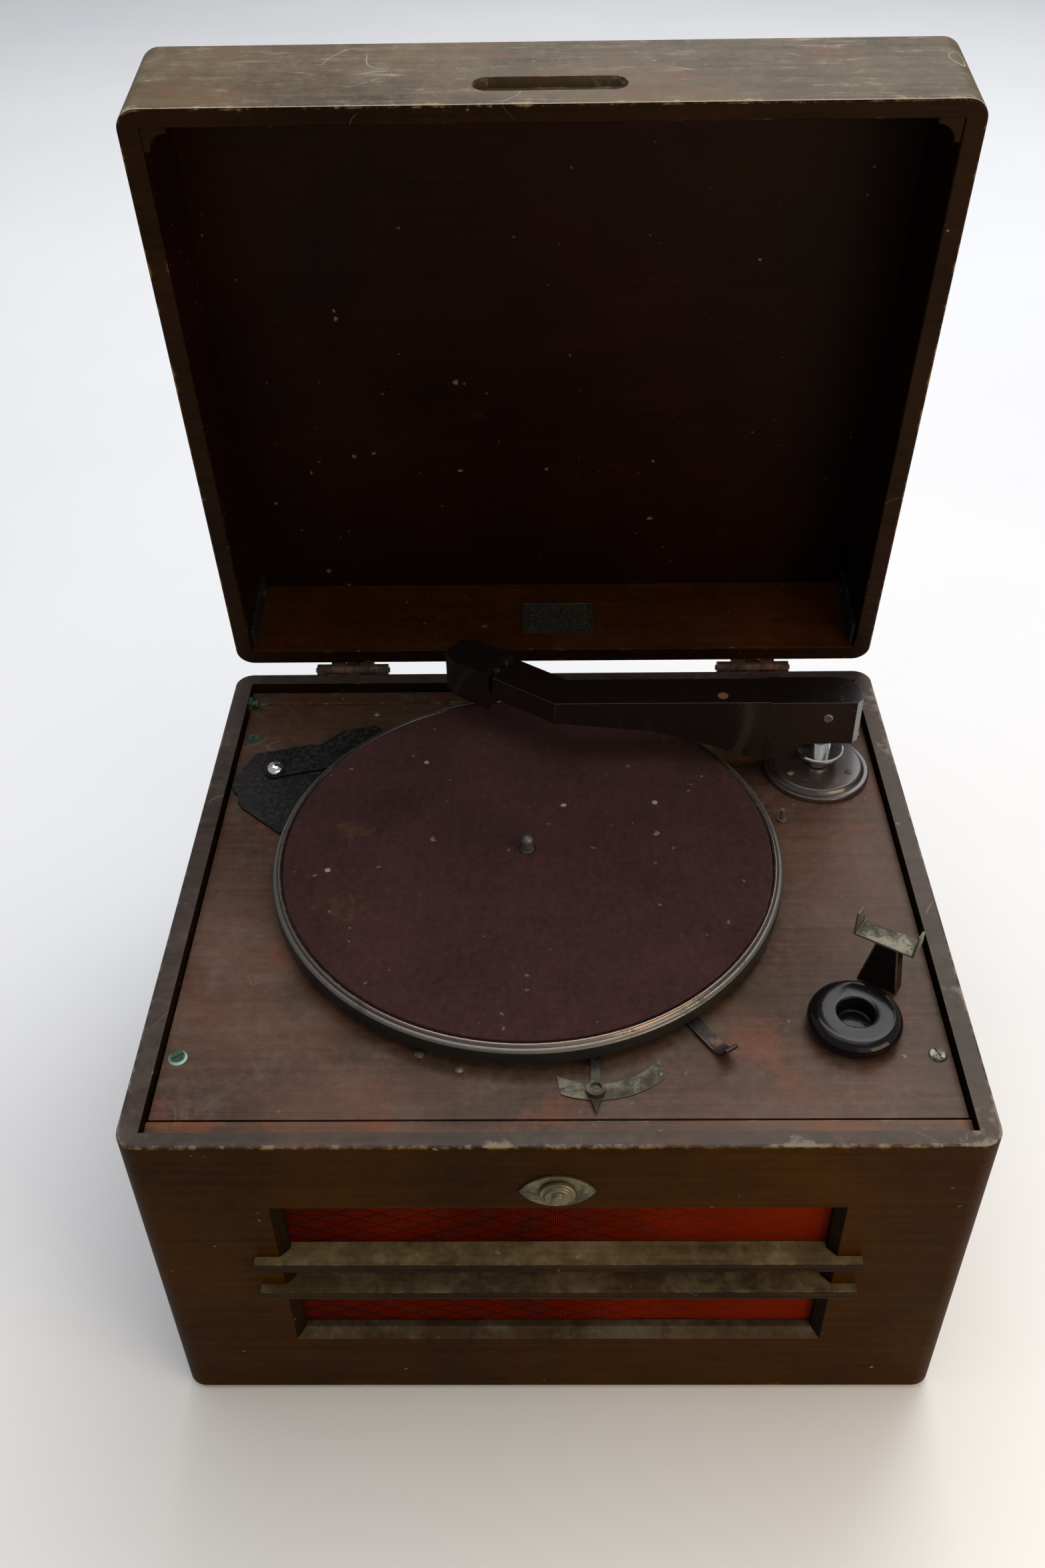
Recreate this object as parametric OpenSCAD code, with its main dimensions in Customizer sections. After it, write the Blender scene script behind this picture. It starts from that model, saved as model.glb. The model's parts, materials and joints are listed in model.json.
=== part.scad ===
// Table gramophone cabinet with a hinged lid: electric motor and turntable,
// pick-up arm, amplifier and loudspeaker in a veneered wooden case.
// Units are millimetres. +X is to the right, +Y to the back and +Z up.
// The origin lies on the floor under the middle of the whole object, lid open.

/* [Cabinet] */
// Width of the cabinet
cabinet_width = 440; // [420:5:470]
// Depth of the cabinet
cabinet_depth = 392; // [380:4:420]
// Height of the cabinet's walls above the feet
wall_height = 235; // [225:5:260]
// Thickness of the side walls and of the rear rail
side_wall = 11.5; // [10:0.5:13]
// Thickness of the front panel
front_wall = 9; // [8:0.5:11]
// Thickness of the bottom board
bottom_board_thickness = 9; // [6:1:12]
// Thickness of the removable back panel
back_panel_thickness = 5; // [4:0.5:7]
// Height of the rail across the top of the back
rear_rail_height = 60; // [45:5:70]
// Height of each foot
foot_height = 4; // [3:0.5:8]
// Diameter of each foot
foot_diameter = 26; // [20:1:34]

/* [Lid] */
// Outside height of the lid
lid_height = 76; // [74:2:90]
// Thickness of the lid's top panel
lid_top_thickness = 8.5; // [7:0.5:9]
// Thickness of the lid's front wall
lid_front_wall = 10; // [9:0.5:12]
// Gap between the lid's rim and the cabinet's rim when closed
lid_gap = 0.5; // [0.3:0.1:1]
// Angle at which the hinges stop the open lid
lid_open_angle = 81; // [76:1:90]
// Length of the finger recess in the lid's front
finger_recess_length = 80; // [60:2:100]
// Height of the finger recess
finger_recess_height = 16; // [12:1:20]
// Depth of the finger recess
finger_recess_depth = 6; // [5:0.5:7]
// Size of the corner blocks inside the lid's front corners
lid_block_size = 13; // [9:1:16]
// Width of the blank plaque inside the lid
plaque_width = 50; // [40:1:60]
// Height of the blank plaque
plaque_height = 31; // [24:1:36]

/* [Hinges] */
// Length of each hinge
hinge_length = 50; // [40:5:65]
// Distance of each hinge from the middle of the back
hinge_offset = 140; // [110:5:160]
// Distance of the hinge axis behind the cabinet's back
hinge_back = 5.5; // [5:0.25:7]
// Radius of a hinge knuckle
knuckle_radius = 4.2; // [3.5:0.1:4.5]
// Radius of a hinge pin
hinge_pin_radius = 1.8; // [1.5:0.1:2.2]
// Thickness of a hinge leaf
leaf_thickness = 1.6; // [1.2:0.2:2]
// Height of a hinge leaf
leaf_height = 26; // [20:1:30]

/* [Motor board] */
// Depth of the motor board's face below the cabinet's rim
deck_drop = 8; // [6:0.5:12]
// Thickness of the motor board
board_thickness = 9; // [8:0.5:12]
// Width of the fixed strip along the front and the back of the motor board
sill_width = 12.5; // [10:0.5:16]
// Gap all round the motor board
board_gap = 1; // [0.5:0.25:1.5]
// Distance of the board screws from the cabinet's outer side
board_screw_inset = 20; // [18:1:24]
// Distance of the board screws from the cabinet's middle, front to back
board_screw_offset = 134; // [120:2:150]
// Radius of a board screw's cup washer
screw_cup_radius = 5; // [4:0.25:6]

/* [Grille] */
// Width of the grille opening at the panel's face
grille_width = 297; // [270:5:310]
// Height of the grille opening at the panel's face
grille_height = 130; // [125:5:140]
// Distance of the grille opening's upper edge below the cabinet's rim
grille_drop = 52; // [50:1:58]
// Width of the bevel round the grille opening
grille_bevel = 5; // [3:0.5:6]
// Thickness of the grille cloth
cloth_thickness = 0.8; // [0.6:0.1:1.2]
// Thickness of the loudspeaker board
baffle_thickness = 9; // [7:1:12]
// Length of each horizontal slat
slat_length = 323; // [315:2:340]
// Height of each slat's moulding
slat_height = 13; // [11:1:16]
// How far the slats stand out of the front panel
slat_reach = 5; // [4:0.5:7]
// Height of the upper slat's top above the grille opening's foot
upper_slat_rise = 85; // [81:1:92]
// Height of the lower slat's top above the grille opening's foot
lower_slat_rise = 58; // [50:1:62]

/* [Volume control] */
// Length of the lozenge-shaped plate
escutcheon_length = 39; // [34:1:46]
// Height of the lozenge-shaped plate
escutcheon_height = 25; // [22:1:30]
// Distance of the plate's middle below the cabinet's rim
escutcheon_drop = 36; // [33:1:37]
// Diameter of the volume knob
knob_diameter = 18.5; // [16:0.5:22]
// How far the knob stands out of its plate
knob_reach = 5; // [4:0.5:8]
// Diameter of the control's shaft
control_shaft_diameter = 6; // [5:0.25:7]

/* [Turntable] */
// Diameter of the turntable
turntable_diameter = 302; // [290:2:306]
// Height of the turntable's rim
turntable_height = 11; // [9.5:0.5:13]
// Clearance between the motor board and the turntable's rim
turntable_clearance = 5.5; // [5:0.5:7]
// Turntable's axis to the left of the cabinet's middle
turntable_left = 16; // [10:1:20]
// Turntable's axis behind the cabinet's middle
turntable_behind = 7.5; // [4:0.5:9]
// Thickness of the felt mat
mat_thickness = 2.5; // [2:0.25:3.5]
// Diameter of the spindle that a record's hole fits
spindle_diameter = 7.2; // [7:0.05:7.24]
// Height of the spindle above the mat
spindle_height = 10; // [8:0.5:11]

/* [Pick-up arm] */
// Distance of the arm's pivot from the cabinet's right side
arm_inset = 50; // [48:0.5:53]
// Arm's pivot behind the cabinet's middle
arm_behind = 98; // [96:0.5:100]
// Height of the arm's top above the cabinet's rim
arm_top = 57; // [56:0.5:58]
// Width of the arm
arm_width = 25; // [22:0.5:26]
// Depth of the arm at its bend
arm_depth = 16; // [14:0.5:16]
// Distance from the pivot to the bend behind the head
arm_bend_distance = 165; // [162:0.5:168]
// Angle of the bend behind the head
arm_bend_angle = 35; // [30:1:38]
// Length of the bent neck
neck_length = 44; // [41:1:46]
// Length of the bearing block over the pivot
block_length = 57; // [54:1:60]
// Depth of the bearing block
block_depth = 32; // [31:0.5:33]
// Height of the lift axis above the cabinet's rim
lift_axis_height = 45; // [44:0.5:46]
// Diameter of the pivot post
arm_post_diameter = 13.6; // [12:0.4:14]
// Diameter of the chrome collar on the post
arm_collar_diameter = 31; // [27:1:33]
// Diameter of the arm's round base
arm_base_diameter = 67; // [60:1:70]
// Height of the arm's round base
arm_base_height = 7; // [5:0.5:8]

/* [Pick-up head] */
// Length of the head
head_length = 37; // [33:1:39]
// Width of the head
head_width = 28; // [25:0.5:30]
// Height of the head
head_height = 27; // [24:0.5:28]
// Height of the head's top above the arm's top
head_rise = 1.5; // [0:0.5:3]
// Distance from the head's nose back to its needle
needle_setback = 9; // [8:0.5:11]
// Width of the gap between neck and head
swivel_length = 3; // [2:0.5:4]
// Diameter of the swivel's pin
swivel_pin_diameter = 10; // [8:0.5:11]
// Diameter of the needle
needle_diameter = 1.6; // [1.4:0.1:1.8]

/* [Needle cup and arm rest] */
// Diameter of the needle cup
cup_diameter = 50.6; // [46:0.5:52]
// Height of the needle cup
cup_height = 13; // [11:0.5:15]
// Diameter of the cup's mouth
cup_mouth = 20; // [17:0.5:24]
// Distance of the cup's middle from the cabinet's right side
cup_inset = 61; // [58:0.5:64]
// Distance of the cup's middle from the cabinet's front
cup_setback = 81; // [78:0.5:84]
// Height of the arm rest's post above the motor board
rest_post_height = 34; // [30:0.5:34.5]
// Distance between the two ears of the arm rest
rest_gap = 31; // [30:0.5:34]
// Height of the ears above the rest's plate
rest_ear_height = 13; // [9:0.5:13]

/* [Controls on the board] */
// Largest swing of the speed lever to each side, which the scale spans
speed_lever_swing = 25; // [20:1:28]
// Reach of the speed lever from its pivot
speed_lever_reach = 60.5; // [57:0.5:62]
// Reach of the start lever from its pivot
start_lever_reach = 51; // [48:0.5:53]
// Height of the start lever's finger above the board
start_finger_height = 12; // [9:0.5:14]
// Distance of the automatic stop's stud from the left side's inner face
stop_inset = 28; // [27.5:0.5:32]

/* [Loudspeaker] */
// Diameter of the loudspeaker's frame
speaker_diameter = 162; // [152:2:166]
// Diameter of the loudspeaker's cone
cone_diameter = 134; // [120:2:140]
// Depth of the loudspeaker behind its board
speaker_depth = 78; // [66:1:90]
// Diameter of the loudspeaker's magnet
magnet_diameter = 70; // [56:2:84]
// Length of the loudspeaker's magnet
magnet_length = 28; // [22:1:32]
// Loudspeaker's axis to the left of the cabinet's middle
speaker_left = 64; // [56:2:70]

/* [Amplifier and motor] */
// Length of the amplifier's chassis
chassis_length = 290; // [250:5:320]
// Depth of the amplifier's chassis, front to back
chassis_depth = 100; // [90:2:104]
// Height of the amplifier's chassis
chassis_height = 42; // [32:1:50]
// Thickness of the chassis' sheet metal
chassis_sheet = 1.6; // [1.2:0.2:2]
// Diameter of a valve's glass
valve_diameter = 34; // [28:1:38]
// Height of a valve above the chassis
valve_height = 92; // [75:1:100]
// Width of the transformer's iron core
transformer_width = 72; // [60:2:80]
// Height of the transformer's iron core
transformer_height = 66; // [56:2:74]
// Thickness of the transformer's iron core
transformer_stack = 30; // [24:2:36]
// Distance of the mains inlet from the cabinet's right side
inlet_inset = 70; // [60:2:90]
// Height of the mains inlet above the walls' foot
inlet_level = 34; // [30:1:50]
// Diameter of the mains inlet's body
inlet_diameter = 27.6; // [25:0.2:30]
// Diameter of the motor's casing
motor_diameter = 110; // [100:1:116]
// Height of the motor's casing
motor_height = 50; // [46:1:54]
// Diameter of the motor's shaft
shaft_diameter = 10; // [9:0.25:11]
// Diameter of the governor's friction disc
governor_disc_diameter = 26; // [22:0.5:28]

/* [Hidden] */
$fn = 64;

// Running clearance of a shaft in its bore, per side
run_fit = 0.05;
// Clearance between pieces that pass each other
clear = 0.3;
// Clearance between pieces fixed side by side
fit = 0.15;
// Overlap that makes a cut run past a face
cut = 1;

// Cabinet levels and faces
half_w = cabinet_width / 2;
half_d = cabinet_depth / 2;
wall_foot = foot_height;
rim = wall_foot + wall_height;
inner_x = half_w - side_wall;
inner_back = half_d - side_wall;
panel_back = -half_d + front_wall;
floor_top = wall_foot + bottom_board_thickness;
deck = rim - deck_drop;
board_under = deck - board_thickness;
sill_top = deck;
sill_front_edge = panel_back + sill_width;
sill_rear_edge = inner_back - sill_width;
block = 20;
bearer_width = 24;
bearer_height = 16;
board_screw_x = half_w - board_screw_inset;
foot_inset = 26;
back_panel_face = half_d - side_wall / 2;
back_panel_top = rim - rear_rail_height;
panel_screw_levels = [wall_foot + 26, back_panel_top - 20];
panel_shank = 1.9;
inlet_x = half_w - inlet_inset;
inlet_z = wall_foot + inlet_level;
inlet_radius = inlet_diameter / 2;

// Lid, measured closed, then turned open about the hinge axis
lid_rim = rim + lid_gap;
lid_top = lid_rim + lid_height;
lid_ceiling = lid_top - lid_top_thickness;
hinge_y = half_d + hinge_back;
hinge_z = rim - 1;
leaf_start = knuckle_radius + 1;
knuckle = hinge_length / 5;
stop_reach = 15;
channel_depth = 3;
channel_width = 16;
channel_height = 58;
channel_y = inner_back - 8.5;
channel_low = lid_rim + 4;
recess_z = lid_rim + 0.31 * lid_height;

// The origin is under the middle of the open object's extent, front to back
knob_face = half_d + 1.2 + knob_reach;
front_most = -max(knob_face, half_d + slat_reach);
rear_most = hinge_y - hinge_back * cos(lid_open_angle)
    + (lid_top - hinge_z) * sin(lid_open_angle);
origin_y = (front_most + rear_most) / 2;

// Grille
opening_high = rim - grille_drop;
opening_low = opening_high - grille_height;
opening_mid = (opening_low + opening_high) / 2;
cloth_front = panel_back;
baffle_front = cloth_front + cloth_thickness;
baffle_back = baffle_front + baffle_thickness;
baffle_width = grille_width + 30;
baffle_height = grille_height + 36;
basket_depth = speaker_depth - magnet_length;
coil_radius = 15.5;
slat_lip = 4;
slat_step = 1.5;

// Volume control
control_z = rim - escutcheon_drop;
escutcheon_thickness = 1.2;
control_body_radius = 13;

// Turntable and its spindle
tt_x = -turntable_left;
tt_y = turntable_behind;
tt_radius = turntable_diameter / 2;
tt_low = deck + turntable_clearance;
tt_top = tt_low + turntable_height;
tt_shell = 3;
tt_bead = 5.5;
mat_seat = tt_top - 2;
mat_top = mat_seat + mat_thickness;
spindle_tip = mat_top + spindle_height;
hub_radius = 14;
spindle_radius = spindle_diameter / 2;
shoulder_radius = spindle_radius + 0.7;
shoulder_top = mat_top - 0.2;

hub_ceiling = mat_seat - tt_shell - 0.2;

// Motor
shaft_radius = shaft_diameter / 2;
motor_plate_thickness = 3;
bearing_radius = 11;
motor_top = board_under - motor_plate_thickness;
motor_low = motor_top - motor_height;
motor_shell = 3;
rotor_radius = motor_diameter / 2 - 12;
rotor_level = motor_low + 20;
rotor_thickness = 4;
gear_radius = 17;
gear_height = 7;
governor_disc_radius = governor_disc_diameter / 2;
gear_low = motor_low - governor_disc_radius - 2 - gear_height / 2;
shaft_foot = gear_low - 10;
worm_radius = 5;
governor_z = gear_low + gear_height / 2;
governor_y = tt_y - gear_radius - worm_radius - clear;
governor_reach = 34;
governor_shaft_radius = 2.5;
bracket = 6;
motor_flange = 20;
leg_apart = 22;
cup_floor = 6;
pole_width = 24;
pole_depth = 12;

// Pick-up arm
arm_axis_x = half_w - arm_inset;
arm_axis_y = arm_behind;
arm_high = rim + arm_top;
arm_low = arm_high - arm_depth;
lift_z = rim + lift_axis_height;
base_top = deck + arm_base_height;
base_stem_radius = 4.8;
turret_pin_radius = 3;
turret_pin_foot = deck - board_thickness + 3.4;
collar_low = rim + 9;
collar_high = rim + 12;
post_radius = arm_post_diameter / 2;
block_low = arm_high - block_depth;
block_back = 21;
block_width = arm_width + 2;
bend_x = arm_axis_x - arm_bend_distance;
neck_turn = 180 - arm_bend_angle;
swivel_z = arm_high - arm_depth / 2;
head_start = neck_length + swivel_length;
head_low = arm_high + head_rise - head_height;
needle_along = head_start + head_length - needle_setback;
needle_tip = mat_top + clear;
lift_pin_radius = 2;
swivel_pin_radius = swivel_pin_diameter / 2;
nose_length = 9;
nose_taper = 5;
holder_length = 8;

// Needle cup
cup_x = half_w - cup_inset;
cup_y = cup_setback - half_d;

// Arm rest: under the neck, where the arm's full swing brings it
rest_swing = 92.65;
rest_reach = arm_bend_distance + 16.2;
rest_x = arm_axis_x - rest_reach * cos(rest_swing);
rest_y = arm_axis_y - rest_reach * sin(rest_swing);
rest_turn = neck_turn + rest_swing - 270;
rest_top = deck + rest_post_height;
rest_sheet = 1.5;
rest_depth = 13;

// Speed lever and scale
speed_pivot = beside_turntable(-27, -72.7);
scale_radius = 46.5;
scale_width = 10;
scale_thickness = 0.8;
scale_length = 2 * scale_radius * sin(speed_lever_swing) + 16;
scale_screw_turn = speed_lever_swing + 7.5;
scale_turn = 11;
speed_rest = -12;
lever_lift = 1.2;
lever_thickness = 1.4;
// Start lever
start_pivot = beside_turntable(-18.6, -52.8);
start_turn = -56;
start_sheet = 1.6;
start_width = 8;
finger_foot = start_lever_reach - 14;
stud_radius = 2;
stud_height = 3.2;
// Automatic stop: its plate lies from the stud to the wall and under the turntable
stop_nut = [stop_inset - inner_x, 97];
stop_plate_thickness = 2;
stop_lever_thickness = 1.4;
nut_low = 4.2;
// Fixed pin beside the turntable's right rear
guide_pin = beside_turntable(12.6, 15);

// A point in plan at a distance outside the turntable's edge, and a turn from its right
function beside_turntable(outside, turn) = [tt_x + (tt_radius + outside) * cos(turn),
    tt_y + (tt_radius + outside) * sin(turn)];

// ---------- shared shapes ----------

// Puts a piece made about the cabinet's middle at its place over the origin
module placed() {
    translate([0, -origin_y, 0])
        children();
}

// Turns a piece made on the closed lid to where the open lid carries it
module on_lid() {
    placed()
        translate([0, hinge_y, hinge_z])
            rotate([-lid_open_angle, 0, 0])
                translate([0, -hinge_y, -hinge_z])
                    children();
}

// A box from its low corner to its high corner
module span(low, high) {
    translate(low)
        cube(high - low);
}

// Upright round bar
module rod(x, y, z, radius, height) {
    translate([x, y, z])
        cylinder(r = radius, h = height);
}

// The four corners of the case, as quarter-round upright posts
module quarter_posts(low, high) {
    for (sx = [-1, 1])
        for (sy = [-1, 1])
            intersection() {
                translate([sx * inner_x, sy * (half_d - side_wall), low])
                    cylinder(r = side_wall, h = high - low);
                translate([sx * (inner_x + side_wall), sy * half_d, (low + high) / 2])
                    cube([2 * side_wall, 2 * side_wall, high - low], center = true);
            }
}

// Flat bar with two round ends along X
module slot_shape(length, height) {
    for (side = [-1, 1])
        translate([side * (length - height) / 2, 0])
            circle(d = height);
    square([length - height, height], center = true);
}

// Dome-headed screw with its head's seat at z = 0 and a shank below
module screw(head, shank, depth) {
    rotate_extrude()
        intersection() {
            translate([0, -head * 1.1])
                circle(r = head * 1.55);
            square([head, head]);
        }
    translate([0, 0, -depth])
        cylinder(r = shank, h = depth + 0.01);
}

// ---------- case ----------

module front_panel() placed() color([0.2, 0.12, 0.07]) {
    difference() {
        span([-inner_x, -half_d, wall_foot], [inner_x, panel_back, rim]);
        // Grille opening, bevelled towards the face
        span([-grille_width / 2 + grille_bevel, -half_d - cut, opening_low + grille_bevel],
            [grille_width / 2 - grille_bevel, panel_back + cut, opening_high - grille_bevel]);
        intersection() {
            translate([0, -half_d, opening_mid])
                linear_extrude(height = grille_height + 2 * cut, center = true)
                    bevel_section(grille_width);
            translate([0, -half_d, opening_mid])
                rotate([0, 90, 0])
                    linear_extrude(height = grille_width + 2 * cut, center = true)
                        bevel_section(grille_height);
        }
        // Hole for the volume control's shaft
        translate([0, -half_d - cut, control_z])
            rotate([-90, 0, 0])
                cylinder(r = control_shaft_diameter / 2 + 1, h = front_wall + 2 * cut);
    }
}

// Section of the bevelled mouth: full width at the face, narrower behind it
module bevel_section(width) {
    polygon([[-width / 2 - cut, -cut], [width / 2 + cut, -cut],
        [width / 2 - grille_bevel, grille_bevel], [-width / 2 + grille_bevel, grille_bevel]]);
}

module side_panels() placed() color([0.22, 0.13, 0.08])
    for (side = [-1, 1])
        translate([side * (half_w - side_wall / 2), 0, (wall_foot + rim) / 2])
            cube([side_wall, 2 * inner_back, wall_height], center = true);

module corner_posts() placed() color([0.2, 0.12, 0.07]) {
    quarter_posts(wall_foot, rim);
}

module rear_rail() placed() color([0.22, 0.13, 0.08])
    span([-inner_x, inner_back, back_panel_top], [inner_x, half_d, rim]);

module bottom_board() placed() color([0.45, 0.33, 0.2])
    span([-inner_x, panel_back, wall_foot], [inner_x, back_panel_face, floor_top]);

// Perforated panel, closed by screws into the rear glue blocks
module back_panel() placed() color([0.38, 0.27, 0.17]) {
    slots = 9;
    pitch = 26;
    slot_length = 40;
    slot_width = 3.6;
    row_level = 58;
    row_pitch = 62;
    difference() {
        span([-inner_x + 0.5, back_panel_face, wall_foot],
            [inner_x - 0.5, back_panel_face + back_panel_thickness, back_panel_top - 0.5]);
        for (row = [0, 1])
            for (i = [0 : slots - 1])
                translate([(i - (slots - 1) / 2) * pitch, back_panel_face - cut,
                        wall_foot + row_level + row * row_pitch])
                    rotate([-90, 90, 0])
                        linear_extrude(height = back_panel_thickness + 2 * cut)
                            slot_shape(slot_length, slot_width);
        // Seat of the mains inlet
        translate([inlet_x, back_panel_face - cut, inlet_z])
            rotate([-90, 0, 0])
                cylinder(r = inlet_radius + 0.2, h = back_panel_thickness + 2 * cut);
        for (side = [-1, 1])
            for (z = panel_screw_levels)
                translate([side * (inner_x - block / 2), back_panel_face - cut, z])
                    rotate([-90, 0, 0])
                        cylinder(r = panel_shank + 0.1, h = back_panel_thickness + 2 * cut);
    }
}

// Softwood blocks in the corners, and the battens that carry the motor board
module glue_blocks() placed() color([0.72, 0.55, 0.36]) {
    for (side = [-1, 1]) {
        translate([side * (inner_x - block / 2), 0, 0]) {
            translate([-block / 2, panel_back, floor_top])
                cube([block, block, board_under - bearer_height - floor_top]);
            translate([-block / 2, back_panel_face - block, floor_top])
                cube([block, block, back_panel_top - floor_top]);
        }
        translate([side * (inner_x - bearer_width / 2), 0, board_under - bearer_height / 2])
            cube([bearer_width, 2 * (half_d - side_wall - 2), bearer_height], center = true);
    }
}

// Fixed strips in front of and behind the motor board
module deck_sills() placed() color([0.3, 0.16, 0.11]) {
    span([-inner_x, panel_back, board_under], [inner_x, sill_front_edge, sill_top]);
    span([-inner_x, sill_rear_edge, board_under], [inner_x, inner_back, sill_top]);
}

module motor_board() placed() color([0.33, 0.2, 0.16])
    difference() {
        span([-inner_x + board_gap, sill_front_edge + board_gap, board_under],
            [inner_x - board_gap, sill_rear_edge - board_gap, deck]);
        rod(tt_x, tt_y, board_under - cut, bearing_radius + 1, board_thickness + 2 * cut);
        rod(arm_axis_x, arm_axis_y, board_under - cut, base_stem_radius + 0.2, board_thickness + 2 * cut);
        for (sx = [-1, 1])
            for (sy = [-1, 1])
                rod(sx * board_screw_x, sy * board_screw_offset, board_under - cut, 2.2,
                    board_thickness + 2 * cut);
    }

// Cup washers and their countersunk screws
module board_screws() placed() color([0.45, 0.5, 0.38])
    for (sx = [-1, 1])
        for (sy = [-1, 1])
            translate([sx * board_screw_x, sy * board_screw_offset, deck]) {
                rotate_extrude()
                    polygon([[2.1, 0], [screw_cup_radius, 0], [screw_cup_radius - 0.9, 1.2],
                        [3.7, 1.2], [2.1, 0.3]]);
                translate([0, 0, -board_thickness + 0.2])
                    cylinder(r = 2, h = board_thickness + 0.2);
                translate([0, 0, 0.4])
                    cylinder(r1 = 2, r2 = 3.6, h = 1);
            }

module feet() placed() color([0.12, 0.12, 0.12])
    for (sx = [-1, 1])
        for (sy = [-1, 1])
            rod(sx * (half_w - foot_inset), sy * (half_d - foot_inset), 0,
                foot_diameter / 2, foot_height);

// ---------- grille and loudspeaker ----------

module grille_cloth() placed() color([0.55, 0.1, 0.05])
    difference() {
        translate([0, cloth_front + cloth_thickness / 2, opening_mid])
            cube([grille_width + 20, cloth_thickness, grille_height + 20], center = true);
        control_notch(cloth_front, cloth_thickness);
    }

module baffle_board() placed() color([0.5, 0.38, 0.24])
    difference() {
        translate([0, baffle_front + baffle_thickness / 2, opening_mid])
            cube([baffle_width, baffle_thickness, baffle_height], center = true);
        translate([-speaker_left, baffle_front - cut, opening_mid])
            rotate([-90, 0, 0])
                cylinder(r = cone_diameter / 2, h = baffle_thickness + 2 * cut);
        control_notch(baffle_front, baffle_thickness);
    }

// Room for the volume control's body in a board behind the front panel
module control_notch(face, thickness) {
    translate([0, face - cut, control_z])
        rotate([-90, 0, 0])
            cylinder(r = control_body_radius + 1, h = thickness + 2 * cut);
}

// One moulded slat: a thin lip over a rounded bead. Its middle fills the opening back to
// the cloth, and its two ends lie on the panel's face.
module slat(top) {
    face = -half_d - slat_reach;
    bead = slat_height - slat_lip;
    intersection() {
        translate([0, 0, top - slat_height])
            linear_extrude(height = slat_height)
                polygon([[-slat_length / 2, face], [slat_length / 2, face],
                    [slat_length / 2, -half_d], [grille_width / 2 - fit, -half_d],
                    [grille_width / 2 - grille_bevel - fit, -half_d + grille_bevel],
                    [grille_width / 2 - grille_bevel - fit, cloth_front],
                    [-grille_width / 2 + grille_bevel + fit, cloth_front],
                    [-grille_width / 2 + grille_bevel + fit, -half_d + grille_bevel],
                    [-grille_width / 2 + fit, -half_d], [-slat_length / 2, -half_d]]);
        union() {
            translate([0, (face + cloth_front) / 2, top - slat_lip / 2])
                cube([slat_length, cloth_front - face, slat_lip], center = true);
            translate([0, (face + slat_step + 2 + cloth_front) / 2, top - slat_height / 2])
                cube([slat_length, cloth_front - face - slat_step - 2, slat_height], center = true);
            translate([0, face + slat_step + 2.4, top - slat_lip - 0.8])
                rotate([0, 90, 0])
                    cylinder(r = 1.6, h = slat_length, center = true);
            translate([0, face + slat_step + bead / 2, top - slat_height + (bead - 1.6) / 2])
                rotate([0, 90, 0])
                    cylinder(r = bead / 2 - 0.8, h = slat_length, center = true);
        }
    }
}

module upper_slat() placed() color([0.35, 0.3, 0.24])
    slat(opening_low + upper_slat_rise);

module lower_slat() placed() color([0.3, 0.26, 0.2])
    slat(opening_low + lower_slat_rise);

module speaker_frame() placed() color([0.25, 0.26, 0.27])
    translate([-speaker_left, baffle_back, opening_mid])
        rotate([-90, 0, 0])
            rotate_extrude()
                polygon([[cone_diameter / 2 + 1, 0], [speaker_diameter / 2, 0],
                    [speaker_diameter / 2, 2.5], [cone_diameter / 2 + 5, 2.5],
                    [magnet_diameter / 2 + 3, basket_depth - 4],
                    [magnet_diameter / 2 + 3, basket_depth],
                    [coil_radius + 0.5, basket_depth], [coil_radius + 0.5, basket_depth - 2],
                    [magnet_diameter / 2, basket_depth - 2],
                    [magnet_diameter / 2, basket_depth - 5],
                    [cone_diameter / 2 + 2, 2.5]]);

module speaker_cone() placed() color([0.2, 0.18, 0.15])
    translate([-speaker_left, baffle_back, opening_mid])
        rotate([-90, 0, 0])
            rotate_extrude()
                polygon([[cone_diameter / 2 + 0.9, 0.2], [cone_diameter / 2 + 0.9, 1.4],
                    [cone_diameter / 2 - 6, 1.4], [coil_radius, basket_depth - 10],
                    [coil_radius, basket_depth - 0.4], [0, basket_depth - 0.4],
                    [0, basket_depth - 16], [coil_radius - 1.5, basket_depth - 12],
                    [cone_diameter / 2 - 6.6, 0.2]]);

module speaker_magnet() placed() color([0.3, 0.3, 0.32])
    translate([-speaker_left, baffle_back + basket_depth, opening_mid])
        rotate([-90, 0, 0])
            cylinder(r = magnet_diameter / 2, h = magnet_length);

module escutcheon_plate() placed() color([0.4, 0.38, 0.28])
    translate([0, -half_d, control_z])
        rotate([90, 0, 0]) {
            difference() {
                linear_extrude(height = escutcheon_thickness)
                    intersection_for(side = [-1, 1])
                        translate([0, side * lozenge_drop])
                            circle(r = lozenge_radius);
                translate([0, 0, -cut])
                    cylinder(r = control_shaft_diameter / 2 + 0.6, h = escutcheon_thickness + 2 * cut);
            }
            for (side = [-1, 1])
                translate([side * (escutcheon_length / 2 - 6), 0, escutcheon_thickness])
                    screw(2, 1.2, 0.6);
        }
// Two arcs that cross at the lozenge's points
lozenge_drop = (pow(escutcheon_length / 2, 2) - pow(escutcheon_height / 2, 2)) / escutcheon_height;
lozenge_radius = lozenge_drop + escutcheon_height / 2;

module volume_control() placed() color([0.55, 0.45, 0.25])
    difference() {
        translate([0, panel_back, control_z])
            rotate([-90, 0, 0])
                cylinder(r = control_body_radius, h = 14);
        translate([0, panel_back - cut, control_z])
            rotate([-90, 0, 0])
                cylinder(r = control_shaft_diameter / 2 + run_fit, h = 10 + cut);
    }

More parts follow.
